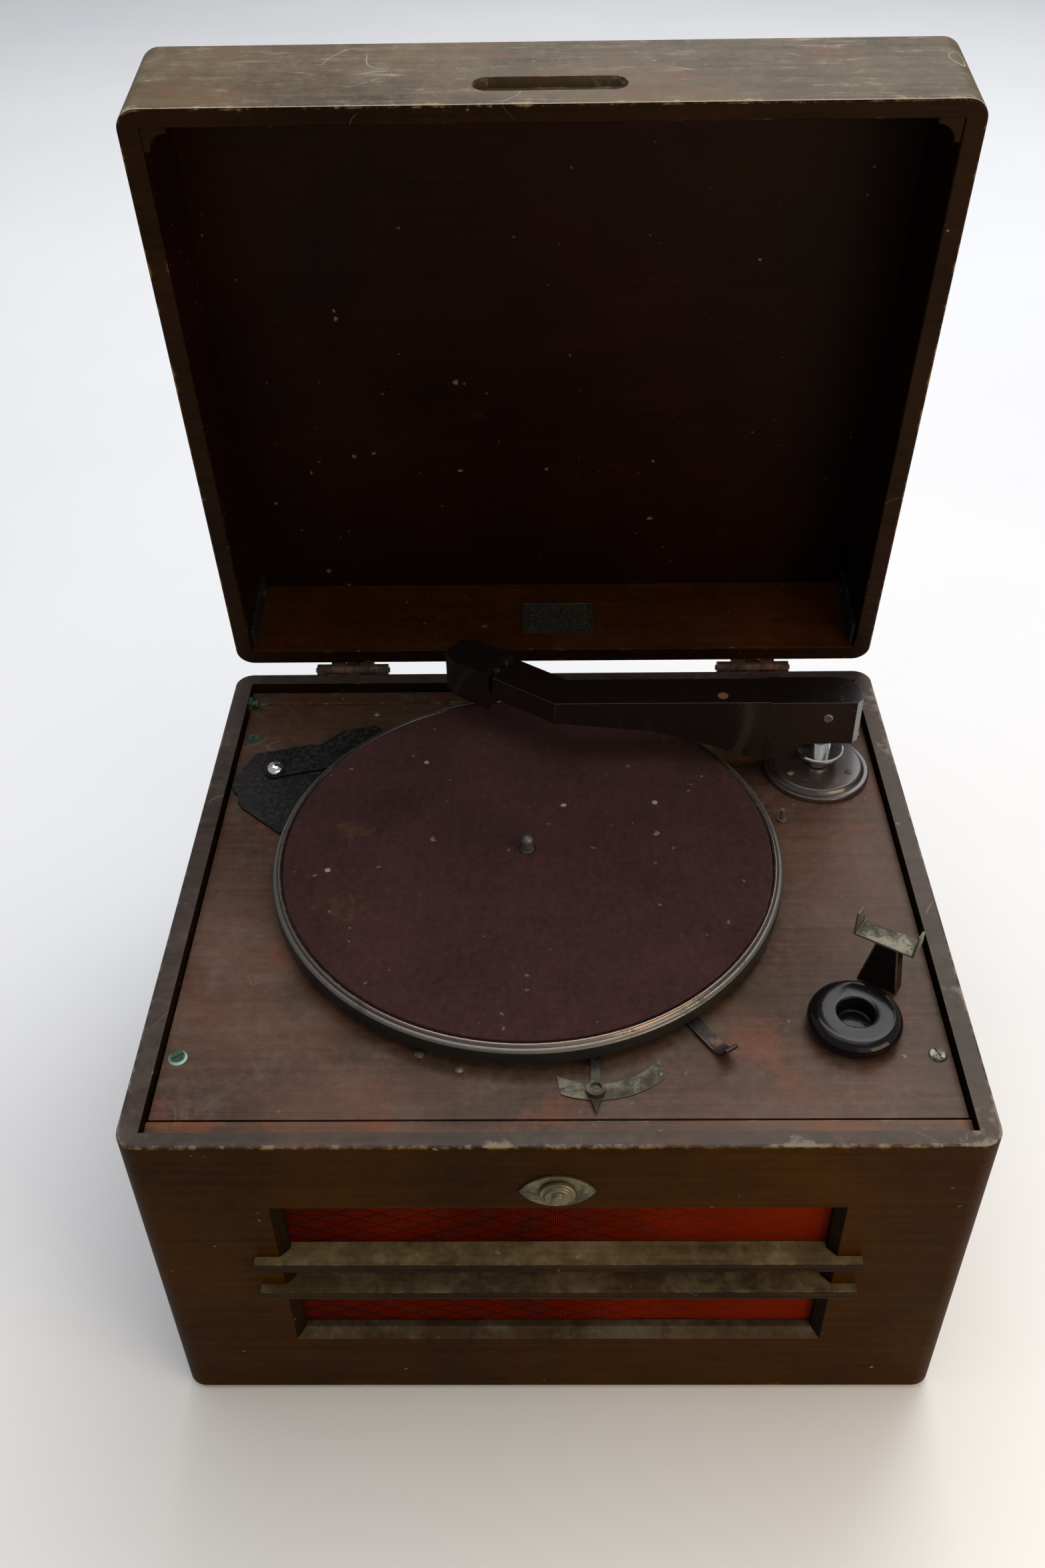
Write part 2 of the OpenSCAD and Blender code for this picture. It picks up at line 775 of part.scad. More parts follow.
module volume_knob() placed() color([0.36, 0.34, 0.24])
    translate([0, -half_d - escutcheon_thickness - clear, control_z])
        rotate([90, 0, 0]) {
            reach = knob_reach - clear;
            rotate_extrude()
                polygon([[0, 0], [knob_diameter / 2, 0], [knob_diameter / 2, reach * 0.4],
                    [knob_diameter * 0.42, reach * 0.6], [knob_diameter * 0.34, reach * 0.6],
                    [knob_diameter * 0.32, reach * 0.85], [knob_diameter * 0.17, reach * 0.85],
                    [knob_diameter * 0.13, reach], [0, reach]]);
            translate([0, 0, -front_wall - escutcheon_thickness - clear - 9])
                cylinder(r = control_shaft_diameter / 2, h = front_wall + escutcheon_thickness + clear + 9.1);
        }

// ---------- amplifier ----------
chassis_x = -10;
chassis_y = back_panel_face - block - 8 - chassis_depth / 2;
valve_spots = [[-105, 18], [-55, -22], [-5, 18]];
valve_base_height = 22;
transformer_place = 85;

// Inverted tray of bent sheet metal
module amplifier_chassis() placed() color([0.5, 0.5, 0.47])
    translate([chassis_x, chassis_y, floor_top])
        difference() {
            translate([0, 0, chassis_height / 2])
                cube([chassis_length, chassis_depth, chassis_height], center = true);
            translate([0, 0, chassis_height / 2 - chassis_sheet])
                cube([chassis_length - 2 * chassis_sheet, chassis_depth + 2 * cut, chassis_height],
                    center = true);
        }

module valves() placed() color([0.75, 0.78, 0.8])
    for (spot = valve_spots)
        translate([chassis_x + spot[0], chassis_y + spot[1], floor_top + chassis_height])
            rotate_extrude()
                union() {
                    square([valve_diameter * 0.44, valve_base_height]);
                    translate([0, valve_base_height - 2])
                        square([valve_diameter * 0.4, 8]);
                    translate([0, valve_base_height + 4])
                        square([valve_diameter / 2,
                            valve_height - valve_base_height - 4 - valve_diameter / 2]);
                    translate([0, valve_height - valve_diameter / 2])
                        intersection() {
                            circle(r = valve_diameter / 2);
                            square([valve_diameter, valve_diameter]);
                        }
                }

module mains_transformer() placed() color([0.25, 0.25, 0.25])
    translate([chassis_x + transformer_place, chassis_y,
            floor_top + chassis_height + transformer_height / 2]) {
        cube([transformer_width, transformer_stack, transformer_height], center = true);
        cube([transformer_width - 26, 2 * transformer_stack + 2, transformer_height - 20],
            center = true);
    }

module mains_inlet() placed() color([0.15, 0.12, 0.1])
    translate([inlet_x, back_panel_face, inlet_z])
        rotate([-90, 0, 0]) {
            depth = 12;
            socket_depth = 4;
            pin_apart = 4.5;
            difference() {
                union() {
                    translate([0, 0, -depth])
                        cylinder(r = inlet_radius, h = depth + back_panel_thickness);
                    translate([0, 0, back_panel_thickness])
                        cylinder(r = inlet_radius + 3.2, h = 2);
                }
                translate([0, 0, -socket_depth])
                    cylinder(r = inlet_radius - 3.3, h = socket_depth + back_panel_thickness + 2 + cut);
            }
            for (side = [-1, 1])
                translate([side * pin_apart, 0, -socket_depth - 0.1])
                    cylinder(r = 1.6, h = 8);
        }

// ---------- motor ----------

// Mounting plate, round casing with its bearings, and the governor's brackets
module motor_frame() placed() color([0.3, 0.32, 0.33]) {
    difference() {
        union() {
            translate([tt_x, tt_y, motor_top + motor_plate_thickness / 2])
                cube([motor_diameter + 2 * motor_flange, motor_diameter - motor_flange,
                    motor_plate_thickness], center = true);
            rod(tt_x, tt_y, motor_low, motor_diameter / 2, motor_height);
            rod(tt_x, tt_y, motor_top, bearing_radius, motor_plate_thickness + board_thickness);
            translate([tt_x, tt_y, motor_low])
                for (side = [-1, 1])
                    translate([side * governor_reach - bracket / 2, governor_y - tt_y - 5,
                            governor_z - motor_low - 6])
                        cube([bracket, 10, motor_low - governor_z + 6.01]);
        }
        rod(tt_x, tt_y, motor_low + motor_shell, motor_diameter / 2 - motor_shell,
            motor_height - motor_shell);
        rod(tt_x, tt_y, shaft_foot, shaft_radius + run_fit, deck + cut - shaft_foot);
        translate([tt_x, governor_y, governor_z])
            rotate([0, 90, 0])
                cylinder(r = governor_shaft_radius + run_fit, h = motor_diameter, center = true);
    }
    // Bottom bearing cup, held by two legs
    difference() {
        union() {
            rod(tt_x, tt_y, shaft_foot - cup_floor, shaft_radius + 4, 10);
            for (side = [-1, 1])
                translate([tt_x + side * leg_apart, tt_y + 8, (motor_low + shaft_foot - cup_floor) / 2])
                    cube([bracket, 8, motor_low - shaft_foot + cup_floor], center = true);
            translate([tt_x, tt_y + 4, shaft_foot - cup_floor + 1.5])
                cube([2 * leg_apart + bracket, 16, 3], center = true);
        }
        rod(tt_x, tt_y, shaft_foot, shaft_radius + run_fit, 20);
    }
}

module spindle() placed() color([0.75, 0.74, 0.7]) {
    rod(tt_x, tt_y, shaft_foot + 0.2, shaft_radius, hub_ceiling - shaft_foot - 0.2);
    rod(tt_x, tt_y, hub_ceiling - 1, shoulder_radius, shoulder_top - hub_ceiling + 1);
    rod(tt_x, tt_y, shoulder_top - 1, spindle_radius, spindle_tip - spindle_radius - shoulder_top + 1);
    translate([tt_x, tt_y, spindle_tip - spindle_radius])
        sphere(r = spindle_radius);
    // Gear that drives the governor
    rod(tt_x, tt_y, gear_low, gear_radius, gear_height);
}

module motor_rotor() placed() color([0.7, 0.7, 0.72])
    difference() {
        union() {
            rod(tt_x, tt_y, rotor_level, rotor_radius, rotor_thickness);
            rod(tt_x, tt_y, rotor_level - 8, 10, 20);
        }
        rod(tt_x, tt_y, motor_low, shaft_radius, motor_height);
    }

// Two iron cores, whose poles stand over and under the edge of the rotor's disc
module motor_stator() placed() color([0.45, 0.25, 0.15])
    for (side = [0, 180])
        translate([tt_x, tt_y, 0])
            rotate([0, 0, side])
                difference() {
                    span([rotor_radius - pole_depth, -pole_width / 2, motor_low + motor_shell],
                        [rotor_radius + 5, pole_width / 2, motor_top]);
                    span([rotor_radius - pole_depth - cut, -pole_width / 2 - cut, rotor_level - clear],
                        [rotor_radius + clear, pole_width / 2 + cut,
                            rotor_level + rotor_thickness + clear]);
                }

// Governor shaft with worm, three weights and friction disc
module governor() placed() color([0.7, 0.58, 0.3])
    translate([tt_x, governor_y, governor_z])
        rotate([0, 90, 0]) {
            outside = governor_reach + bracket / 2 + clear;
            translate([0, 0, -outside])
                cylinder(r = governor_shaft_radius, h = 2 * outside);
            translate([0, 0, -8])
                cylinder(r = worm_radius, h = 16);
            translate([0, 0, outside])
                cylinder(r = governor_disc_radius, h = 2);
            translate([0, 0, outside])
                cylinder(r = 5, h = 18);
            for (turn = [0, 120, 240])
                rotate([0, 0, turn])
                    translate([4, -2, outside + 6])
                        cube([7, 4, 8]);
        }

// ---------- turntable ----------

module turntable() placed() color([0.22, 0.22, 0.23])
    translate([tt_x, tt_y, 0])
        rotate_extrude($fn = 128)
            polygon([[shoulder_radius, mat_seat], [tt_radius - tt_bead - 0.6, mat_seat],
                [tt_radius - tt_bead, tt_top - 0.4], [tt_radius - tt_bead + 1, tt_top],
                [tt_radius - tt_bead + 2, tt_top - 0.4],
                [tt_radius, tt_top - 3], [tt_radius, tt_low],
                [tt_radius - tt_shell, tt_low], [tt_radius - tt_shell, mat_seat - tt_shell],
                [hub_radius, mat_seat - tt_shell], [hub_radius, tt_low],
                [shaft_radius, tt_low], [shaft_radius, hub_ceiling],
                [shoulder_radius, hub_ceiling]]);

module turntable_mat() placed() color([0.25, 0.13, 0.15])
    difference() {
        rod(tt_x, tt_y, mat_seat, tt_radius - tt_bead - 1, mat_thickness);
        rod(tt_x, tt_y, mat_seat - cut, shoulder_radius + clear, mat_thickness + 2 * cut);
    }

// ---------- pick-up arm ----------

module arm_base() placed() color([0.1, 0.1, 0.1])
    translate([arm_axis_x, arm_axis_y, deck])
        difference() {
            union() {
                rotate_extrude()
                    polygon([[0, 0], [arm_base_diameter / 2, 0], [arm_base_diameter / 2, 3],
                        [arm_base_diameter / 2 - 1.5, 4], [arm_base_diameter / 2 - 3, 4],
                        [arm_base_diameter / 2 - 5, arm_base_height - 0.6],
                        [arm_base_diameter / 2 - 7, arm_base_height], [0, arm_base_height]]);
                translate([0, 0, -board_thickness])
                    cylinder(r = base_stem_radius, h = board_thickness + 0.01);
            }
            translate([0, 0, turret_pin_foot - 0.4 - deck])
                cylinder(r = turret_pin_radius + run_fit, h = board_thickness + arm_base_height + cut);
        }

module arm_turret() placed() color([0.8, 0.8, 0.82])
    translate([arm_axis_x, arm_axis_y, 0])
        difference() {
            union() {
                translate([0, 0, turret_pin_foot])
                    cylinder(r = turret_pin_radius, h = base_top + clear - turret_pin_foot + 0.1);
                translate([0, 0, base_top + clear])
                    cylinder(r = post_radius, h = lift_z - base_top - clear);
                translate([0, 0, lift_z])
                    sphere(r = post_radius);
                translate([0, 0, collar_low])
                    rotate_extrude()
                        polygon([[0, 0], [arm_collar_diameter / 2 - 0.8, 0],
                            [arm_collar_diameter / 2, 0.8],
                            [arm_collar_diameter / 2, collar_high - collar_low - 0.8],
                            [arm_collar_diameter / 2 - 0.8, collar_high - collar_low],
                            [0, collar_high - collar_low]]);
            }
            translate([0, -20, lift_z])
                rotate([-90, 0, 0])
                    cylinder(r = lift_pin_radius + run_fit, h = 40);
        }

// Side outline of the arm from the bend to the pivot, along the arm and up
module arm_outline() {
    polygon([[-arm_bend_distance - neck_length - arm_width, arm_low], [-arm_bend_distance, arm_low],
        [-arm_bend_distance + 56, arm_low - 6], [-arm_bend_distance + 88, arm_low - 16],
        [-38, arm_low - 30.5], [-12.5, block_low], [block_back, block_low],
        [block_back, arm_high], [-arm_bend_distance - neck_length - arm_width, arm_high]]);
}

// A point of the neck in plan, from its length past the bend and its distance to the front
function neck_point(along, side) = [-arm_bend_distance + along * cos(neck_turn) - side * sin(neck_turn),
    along * sin(neck_turn) + side * cos(neck_turn)];

// Plan of the arm: bent neck, straight beam, and a wider block with a rounded rear end
module arm_plan() {
    mitre = arm_width / 2 * tan(arm_bend_angle / 2);
    front = block_length - block_back;
    round_end = 14;
    polygon([neck_point(neck_length, -arm_width / 2), neck_point(neck_length, arm_width / 2),
        [-arm_bend_distance - mitre, -arm_width / 2], [-front, -arm_width / 2],
        [-front, -block_width / 2], [block_back - 4, -block_width / 2],
        [block_back, -block_width / 2 + 4],
        for (a = [0 : 15 : 90])
            [block_back + round_end * (cos(a) - 1), block_width / 2 + round_end * (sin(a) - 1)],
        [-front, block_width / 2], [-front, arm_width / 2],
        [-arm_bend_distance + mitre, arm_width / 2]]);
}

module arm_tube() placed() color([0.09, 0.09, 0.1])
    difference() {
        translate([arm_axis_x, arm_axis_y, 0])
            intersection() {
                translate([0, 2 * arm_width, 0])
                    rotate([90, 0, 0])
                        linear_extrude(height = 4 * arm_width)
                            arm_outline();
                translate([0, 0, arm_low - 40])
                    linear_extrude(height = arm_depth + 41)
                        arm_plan();
            }
        // Room for the post, open below and behind
        translate([arm_axis_x, arm_axis_y, 0])
            span([-17, -arm_width / 2 + 3, block_low - 20],
                [block_back - 5, arm_width / 2 - 3, lift_z + post_radius + 2]);
        translate([arm_axis_x, arm_axis_y, 0])
            span([0, -post_radius - 1, block_low - 20], [block_back + 5, post_radius + 1, lift_z + 2]);
        translate([arm_axis_x, arm_axis_y - 20, lift_z])
            rotate([-90, 0, 0])
                cylinder(r = lift_pin_radius, h = 40);
        // Swivel bore
        translate([bend_x, arm_axis_y, swivel_z])
            rotate([0, 0, neck_turn])
                translate([neck_length - 20, 0, 0])
                    rotate([0, 90, 0])
                        cylinder(r = swivel_pin_radius + run_fit, h = 30);
    }

module lift_pin() placed() color([0.75, 0.75, 0.75])
    translate([arm_axis_x, arm_axis_y, lift_z])
        rotate([90, 0, 0]) {
            cylinder(r = lift_pin_radius, h = block_width, center = true);
            for (side = [0, 180])
                rotate([side, 0, 0])
                    translate([0, 0, block_width / 2])
                        cylinder(r1 = 3.2, r2 = 2.6, h = 0.8);
        }

module pickup_head() placed() color([0.09, 0.09, 0.1])
    translate([bend_x, arm_axis_y, 0])
        rotate([0, 0, neck_turn])
            difference() {
                union() {
                    // Swivel pin in the neck's bore, and its collar in the gap
                    translate([neck_length - 16, 0, swivel_z])
                        rotate([0, 90, 0])
                            cylinder(r = swivel_pin_radius, h = 16 + swivel_length + 2);
                    translate([neck_length + clear, 0, swivel_z])
                        rotate([0, 90, 0])
                            cylinder(r = swivel_pin_radius + 2, h = swivel_length);
                    // Head with a nose that tapers in plan
                    translate([0, 0, head_low])
                        linear_extrude(height = head_height)
                            polygon([[head_start, -head_width / 2],
                                [head_start + head_length - nose_length, -head_width / 2],
                                [head_start + head_length, -head_width / 2 + nose_taper],
                                [head_start + head_length, head_width / 2 - nose_taper],
                                [head_start + head_length - nose_length, head_width / 2],
                                [head_start, head_width / 2]]);
                    // Needle holder and its screw
                    translate([needle_along, 0, head_low - holder_length])
                        cylinder(r = 4, h = holder_length + 0.1);
                    translate([needle_along + 2, 0, head_low - holder_length / 2])
                        rotate([0, 90, 0])
                            cylinder(r = 1.6, h = 8);
                    translate([needle_along + 9, 0, head_low - holder_length / 2])
                        rotate([0, 90, 0])
                            cylinder(r = 3, h = 4);
                }
                translate([needle_along, 0, head_low - holder_length - cut])
                    cylinder(r = needle_diameter / 2, h = holder_length - 2 + cut);
            }

module needle() placed() color([0.8, 0.8, 0.78])
    translate([bend_x, arm_axis_y, 0])
        rotate([0, 0, neck_turn])
            translate([needle_along, 0, needle_tip]) {
                cylinder(r1 = 0.2, r2 = needle_diameter / 2, h = 4);
                translate([0, 0, 4])
                    cylinder(r = needle_diameter / 2, h = head_low - 2.5 - needle_tip - 4);
            }

// ---------- needle cup and arm rest ----------

module needle_cup() placed() color([0.08, 0.08, 0.09])
    translate([cup_x, cup_y, deck])
        rotate_extrude()
            difference() {
                union() {
                    square([cup_diameter / 2 - 4, cup_height]);
                    translate([cup_diameter / 2 - cup_height / 2, cup_height / 2])
                        circle(d = cup_height);
                }
                translate([-cut, 2.5])
                    square([cup_mouth / 2 + cut, cup_height]);
            }

module arm_rest_post() placed() color([0.1, 0.1, 0.1])
    translate([rest_x, rest_y, deck])
        rotate([0, 0, rest_turn])
            translate([0, 4.5, 0])
                rotate([90, 0, 0])
                    linear_extrude(height = 9)
                        polygon([[-11.5, 0], [11.5, 0], [7.5, rest_post_height],
                            [-4.5, rest_post_height]]);

// Bent sheet saddle with two upturned ears
module arm_rest_cradle() placed() color([0.45, 0.47, 0.44])
    translate([rest_x, rest_y, rest_top])
        rotate([0, 0, rest_turn])
            translate([0, rest_depth / 2, 0])
                rotate([90, 0, 0])
                    difference() {
                        linear_extrude(height = rest_depth)
                            polygon([[-rest_gap / 2 - rest_sheet, 0], [rest_gap / 2 + rest_sheet, 0],
                                [rest_gap / 2 + rest_sheet + 1, rest_ear_height],
                                [rest_gap / 2 + 1, rest_ear_height], [rest_gap / 2, rest_sheet],
                                [-rest_gap / 2, rest_sheet], [-rest_gap / 2 - 1, rest_ear_height],
                                [-rest_gap / 2 - rest_sheet - 1, rest_ear_height]]);
                        // The ears narrow towards their tips
                        for (end = [0, 1])
                            translate([0, rest_ear_height + 1, end * rest_depth])
                                rotate([0, 90, 0])
                                    linear_extrude(height = 2 * rest_gap, center = true)
                                        polygon([[-4, 0], [4, 0], [0, -rest_ear_height + 1]]);
                    }

// ---------- controls and fittings on the board ----------

// Curved scale with plain edge, held by the lever's pivot side
module speed_scale() placed() color([0.45, 0.44, 0.38])
    translate([speed_pivot[0], speed_pivot[1], deck])
        rotate([0, 0, scale_turn])
            intersection() {
                difference() {
                    cylinder(r = scale_radius + scale_width / 2, h = scale_thickness);
                    translate([0, 0, -cut])
                        cylinder(r = scale_radius - scale_width / 2, h = scale_thickness + 2 * cut);
                }
                translate([0, -scale_radius, 0])
                    cube([scale_length, scale_radius, 4], center = true);
            }

module speed_lever() placed() color([0.5, 0.48, 0.4])
    translate([speed_pivot[0], speed_pivot[1], deck])
        rotate([0, 0, scale_turn + speed_rest]) {
            pointer = 8;
            difference() {
                union() {
                    translate([0, 0, lever_lift])
                        cylinder(r = 5, h = lever_thickness);
                    translate([-2.5, pointer - speed_lever_reach, lever_lift])
                        cube([5, speed_lever_reach - pointer, lever_thickness]);
                    translate([0, pointer + 6 - speed_lever_reach, lever_lift])
                        cylinder(r = 5, h = 3.4);
                    translate([0, pointer - speed_lever_reach, lever_lift])
                        linear_extrude(height = lever_thickness)
                            polygon([[-2.5, 0.1], [2.5, 0.1], [0, -pointer]]);
                }
                translate([0, 0, -cut])
                    cylinder(r = stud_radius + run_fit, h = 8);
            }
        }

// Start and stop lever: flat arm under the turntable and a curved finger outside it
module start_lever() placed() color([0.3, 0.27, 0.22])
    translate([start_pivot[0], start_pivot[1], deck])
        rotate([0, 0, start_turn])
            difference() {
                union() {
                    translate([0, 0, 1])
                        cylinder(r = 6, h = start_sheet);
                    translate([0, -start_width / 2, 1])
                        cube([finger_foot, start_width, start_sheet]);
                    intersection() {
                        translate([finger_foot, start_width / 2, start_finger_height + 1])
                            rotate([90, 0, 0])
                                difference() {
                                    cylinder(r = start_finger_height, h = start_width);
                                    translate([0, 0, -cut])
                                        cylinder(r = start_finger_height - start_sheet,
                                            h = start_width + 2 * cut);
                                }
                        translate([finger_foot, -start_width, 0])
                            cube([start_width * 2.5, start_width * 2, start_finger_height]);
                    }
                }
                translate([0, 0, -cut])
                    cylinder(r = stud_radius + run_fit, h = 8);
            }

module autostop_plate() placed() color([0.25, 0.26, 0.27])
    translate([stop_nut[0], stop_nut[1], deck])
        difference() {
            linear_extrude(height = stop_plate_thickness)
                union() {
                    polygon([[-21.5, -22], [-20, -29], [-16, -35], [10, -58], [70.5, -37],
                        [52.5, 15], [20.5, 29], [-15.5, 19], [-22.5, 3]]);
                    translate([-12.5, -11])
                        circle(r = 14);
                }
            translate([0, 0, -cut])
                cylinder(r = stud_radius + run_fit, h = stop_plate_thickness + 2 * cut);
        }

// Chrome dome nut on the stud that carries the trip lever
module autostop_nut() placed() color([0.8, 0.8, 0.78])
    translate([stop_nut[0], stop_nut[1], deck]) {
        translate([0, 0, 0.2])
            cylinder(r = stud_radius, h = nut_low - 0.2);
        translate([0, 0, nut_low])
            intersection() {
                translate([0, 0, -1.2])
                    sphere(r = 6.3);
                cylinder(r = 6.2, h = 6);
            }
    }

module autostop_lever() placed() color([0.3, 0.32, 0.32])
    translate([stop_nut[0], stop_nut[1], deck + stop_plate_thickness + clear])
        difference() {
            linear_extrude(height = stop_lever_thickness)
                union() {
                    circle(r = 7);
                    polygon([[-3, 6], [3, -6], [33, 2], [44, 8], [66, 40], [61, 47],
                        [40, 40], [24, 24]]);
                    translate([33, 15])
                        circle(r = 13);
                }
            translate([0, 0, -cut])
                cylinder(r = stud_radius + run_fit, h = stop_lever_thickness + 2 * cut);
        }

// Round-head screws of the back panel, the board, the arm's base and the scale,
// the two lever studs and the guide pin beside the turntable
board_screw_spots = [[-72.5, sill_front_edge + 42.3], [-51, sill_front_edge + 32.5],
    [-120, sill_rear_edge - 12], [40, sill_rear_edge - 22]];
module wood_screws() placed() color([0.6, 0.55, 0.4]) {
    for (side = [-1, 1])
        for (z = panel_screw_levels)
            translate([side * (inner_x - block / 2), back_panel_face + back_panel_thickness, z])
                rotate([-90, 0, 0])
                    screw(4, panel_shank, back_panel_thickness - 0.1);
    for (spot = board_screw_spots)
        translate([spot[0], spot[1], deck])
            screw(2.6, 1.4, 0);
    for (turn = [90, 210, 330])
        translate([arm_axis_x, arm_axis_y, base_top])
            rotate([0, 0, turn])
                translate([arm_base_diameter / 2 - 12, 0, 0])
                    screw(2.4, 1.3, 0);
    for (side = [-1, 1])
        translate([speed_pivot[0], speed_pivot[1], deck + scale_thickness])
            rotate([0, 0, scale_turn + side * scale_screw_turn])
                translate([0, -scale_radius - 2, 0])
                    screw(1.3, 1, 0);
    for (pivot = [speed_pivot, start_pivot])
        translate([pivot[0], pivot[1], deck]) {
            cylinder(r = stud_radius, h = stud_height);
            translate([0, 0, stud_height - 0.2])
                cylinder(r = stud_radius * 1.7, h = 1);
        }
    rod(guide_pin[0], guide_pin[1], deck, 1.6, 9);
    rod(guide_pin[0], guide_pin[1], deck, 3.2, 1.6);
}

// Brass lug on the left wall, for a stay
module stay_lug() placed() color([0.5, 0.55, 0.4])
    translate([-inner_x, inner_back - 17, deck]) {
        span([0, -3.5, 0], [2, 3.5, deck_drop - 1]);
        translate([0, 0, deck_drop - 4])
            rotate([0, 90, 0])
                cylinder(r = 1.6, h = 5);
        translate([5, 0, deck_drop - 4])
            rotate([0, 90, 0])
                cylinder(r = 2.6, h = 1.2);
    }

// ---------- hinges ----------

// One leaf's barrel pieces at the given knuckles, with their webs towards the leaf
module knuckles(places, up) {
    for (i = places)
        translate([(i - 2) * knuckle, hinge_y, hinge_z]) {
            rotate([0, 90, 0])
                cylinder(r = knuckle_radius, h = knuckle - clear, center = true);
            translate([0, (clear - hinge_back) / 2, up * (leaf_start + 1) / 2])
                cube([knuckle - clear, hinge_back - clear, leaf_start + 1], center = true);
        }
}

module hinge_leaf(places, up) {
    difference() {
        union() {
            knuckles(places, up);
            translate([-hinge_length / 2, half_d, up > 0 ? hinge_z + leaf_start : hinge_z - leaf_height])
                cube([hinge_length, leaf_thickness, leaf_height - leaf_start]);
        }
        translate([0, hinge_y, hinge_z])
            rotate([0, 90, 0])
                cylinder(r = hinge_pin_radius + run_fit, h = hinge_length + 2 * cut, center = true);
    }
    for (side = [-1, 1])
        translate([side * hinge_length * 0.3, half_d + leaf_thickness,
                hinge_z + up * (leaf_height + leaf_start) / 2])
            rotate([-90, 0, 0])
                screw(3, 1.4, 0.5);
}

// The fixed leaves carry a bar that the open lid's leaves come to rest on
module hinge_body_leaves() placed() color([0.42, 0.36, 0.24])
    for (side = [-1, 1])
        translate([side * hinge_offset, 0, 0]) {
            hinge_leaf([0, 2, 4], -1);
            difference() {
                translate([0, hinge_y, hinge_z])
                    rotate([0, 90, 0])
                        linear_extrude(height = knuckle - clear, center = true)
                            polygon([[3, 0], [3, stop_reach - 3], [0, stop_reach],
                                [-stop_level(stop_reach), stop_reach], [-stop_level(5), 5], [0, 3]]);
                translate([0, hinge_y, hinge_z])
                    rotate([0, 90, 0])
                        cylinder(r = hinge_pin_radius + run_fit, h = hinge_length, center = true);
            }
        }

// Height over the hinge axis at which the open lid's leaf lies, less a clearance
function stop_level(reach) = (hinge_back - leaf_thickness) / sin(lid_open_angle)
    + reach / tan(lid_open_angle) - clear;

module hinge_pins() placed() color([0.55, 0.5, 0.35])
    for (side = [-1, 1])
        translate([side * hinge_offset, hinge_y, hinge_z])
            rotate([0, 90, 0])
                cylinder(r = hinge_pin_radius, h = hinge_length + 2, center = true);

module hinge_lid_leaves() on_lid() color([0.42, 0.36, 0.24])
    for (side = [-1, 1])
        translate([side * hinge_offset, 0, 0])
            hinge_leaf([1, 3], 1);

// ---------- lid ----------

module lid_front_wall() on_lid() color([0.36, 0.28, 0.2])
    difference() {
        span([-inner_x, -half_d, lid_rim], [inner_x, -half_d + lid_front_wall, lid_ceiling]);
        translate([0, -half_d - cut, recess_z])
            rotate([-90, 0, 0])
                linear_extrude(height = finger_recess_depth + cut)
                    slot_shape(finger_recess_length, finger_recess_height);
    }

module lid_side_walls() on_lid() color([0.24, 0.15, 0.09])
    for (side = [-1, 1])
        translate([side * (half_w - side_wall / 2), 0, (lid_rim + lid_ceiling) / 2])
            cube([side_wall, 2 * inner_back, lid_ceiling - lid_rim], center = true);

module lid_rear_wall() on_lid() color([0.3, 0.17, 0.09])
    span([-inner_x, inner_back, lid_rim], [inner_x, half_d, lid_ceiling]);

module lid_corner_posts() on_lid() color([0.24, 0.15, 0.09])
    quarter_posts(lid_rim, lid_ceiling);

module lid_top_panel() on_lid() color([0.2, 0.12, 0.08])
    translate([0, 0, lid_ceiling])
        linear_extrude(height = lid_top_thickness)
            union() {
                for (sx = [-1, 1])
                    for (sy = [-1, 1])
                        translate([sx * inner_x, sy * inner_back])
                            circle(r = side_wall);
                square([2 * half_w, 2 * inner_back], center = true);
                square([2 * inner_x, 2 * half_d], center = true);
            }

// Scalloped blocks in the lid's front corners, just inside the rim
module lid_corner_blocks() on_lid() color([0.28, 0.18, 0.11])
    for (side = [-1, 1])
        mirror([side < 0 ? 1 : 0, 0, 0])
            translate([inner_x, -half_d + lid_front_wall, lid_rim + 1])
                mirror([1, 0, 0])
                    linear_extrude(height = 14)
                        difference() {
                            square(lid_block_size);
                            translate([lid_block_size, lid_block_size])
                                circle(r = lid_block_size * 0.75);
                        }

// Upright metal channels in the lid's rear corners, with a slot for a stay
module stay_channels() on_lid() color([0.3, 0.29, 0.26])
    for (side = [-1, 1])
        translate([side * (inner_x - channel_depth / 2), channel_y, channel_low])
            difference() {
                translate([-channel_depth / 2, -channel_width / 2, 0])
                    cube([channel_depth, channel_width, channel_height]);
                translate([-channel_depth, 0, channel_height / 2 + 1])
                    rotate([0, 90, 0])
                        linear_extrude(height = 2 * channel_depth)
                            slot_shape(channel_height - 16, channel_width / 2);
            }

module lid_plaque() on_lid() color([0.3, 0.26, 0.18])
    translate([4, inner_back - 0.4, lid_rim + 0.42 * lid_height])
        cube([plaque_width, 0.8, plaque_height], center = true);

front_panel();
side_panels();
corner_posts();
rear_rail();
bottom_board();
back_panel();
glue_blocks();
deck_sills();
motor_board();
board_screws();
feet();
baffle_board();
grille_cloth();
upper_slat();
lower_slat();
escutcheon_plate();
volume_control();
speaker_frame();
speaker_cone();
speaker_magnet();
amplifier_chassis();
valves();
mains_transformer();
mains_inlet();
motor_frame();
motor_stator();
wood_screws();
speed_scale();
autostop_plate();
autostop_nut();
arm_base();
needle_cup();
arm_rest_post();
arm_rest_cradle();
stay_lug();
hinge_body_leaves();
hinge_pins();
lid_front_wall();
lid_side_walls();
lid_rear_wall();
lid_top_panel();
lid_corner_posts();
lid_corner_blocks();
stay_channels();
lid_plaque();
hinge_lid_leaves();
turntable();
turntable_mat();
spindle();
motor_rotor();
arm_turret();
arm_tube();
lift_pin();
pickup_head();
needle();
volume_knob();
speed_lever();
start_lever();
autostop_lever();
governor();
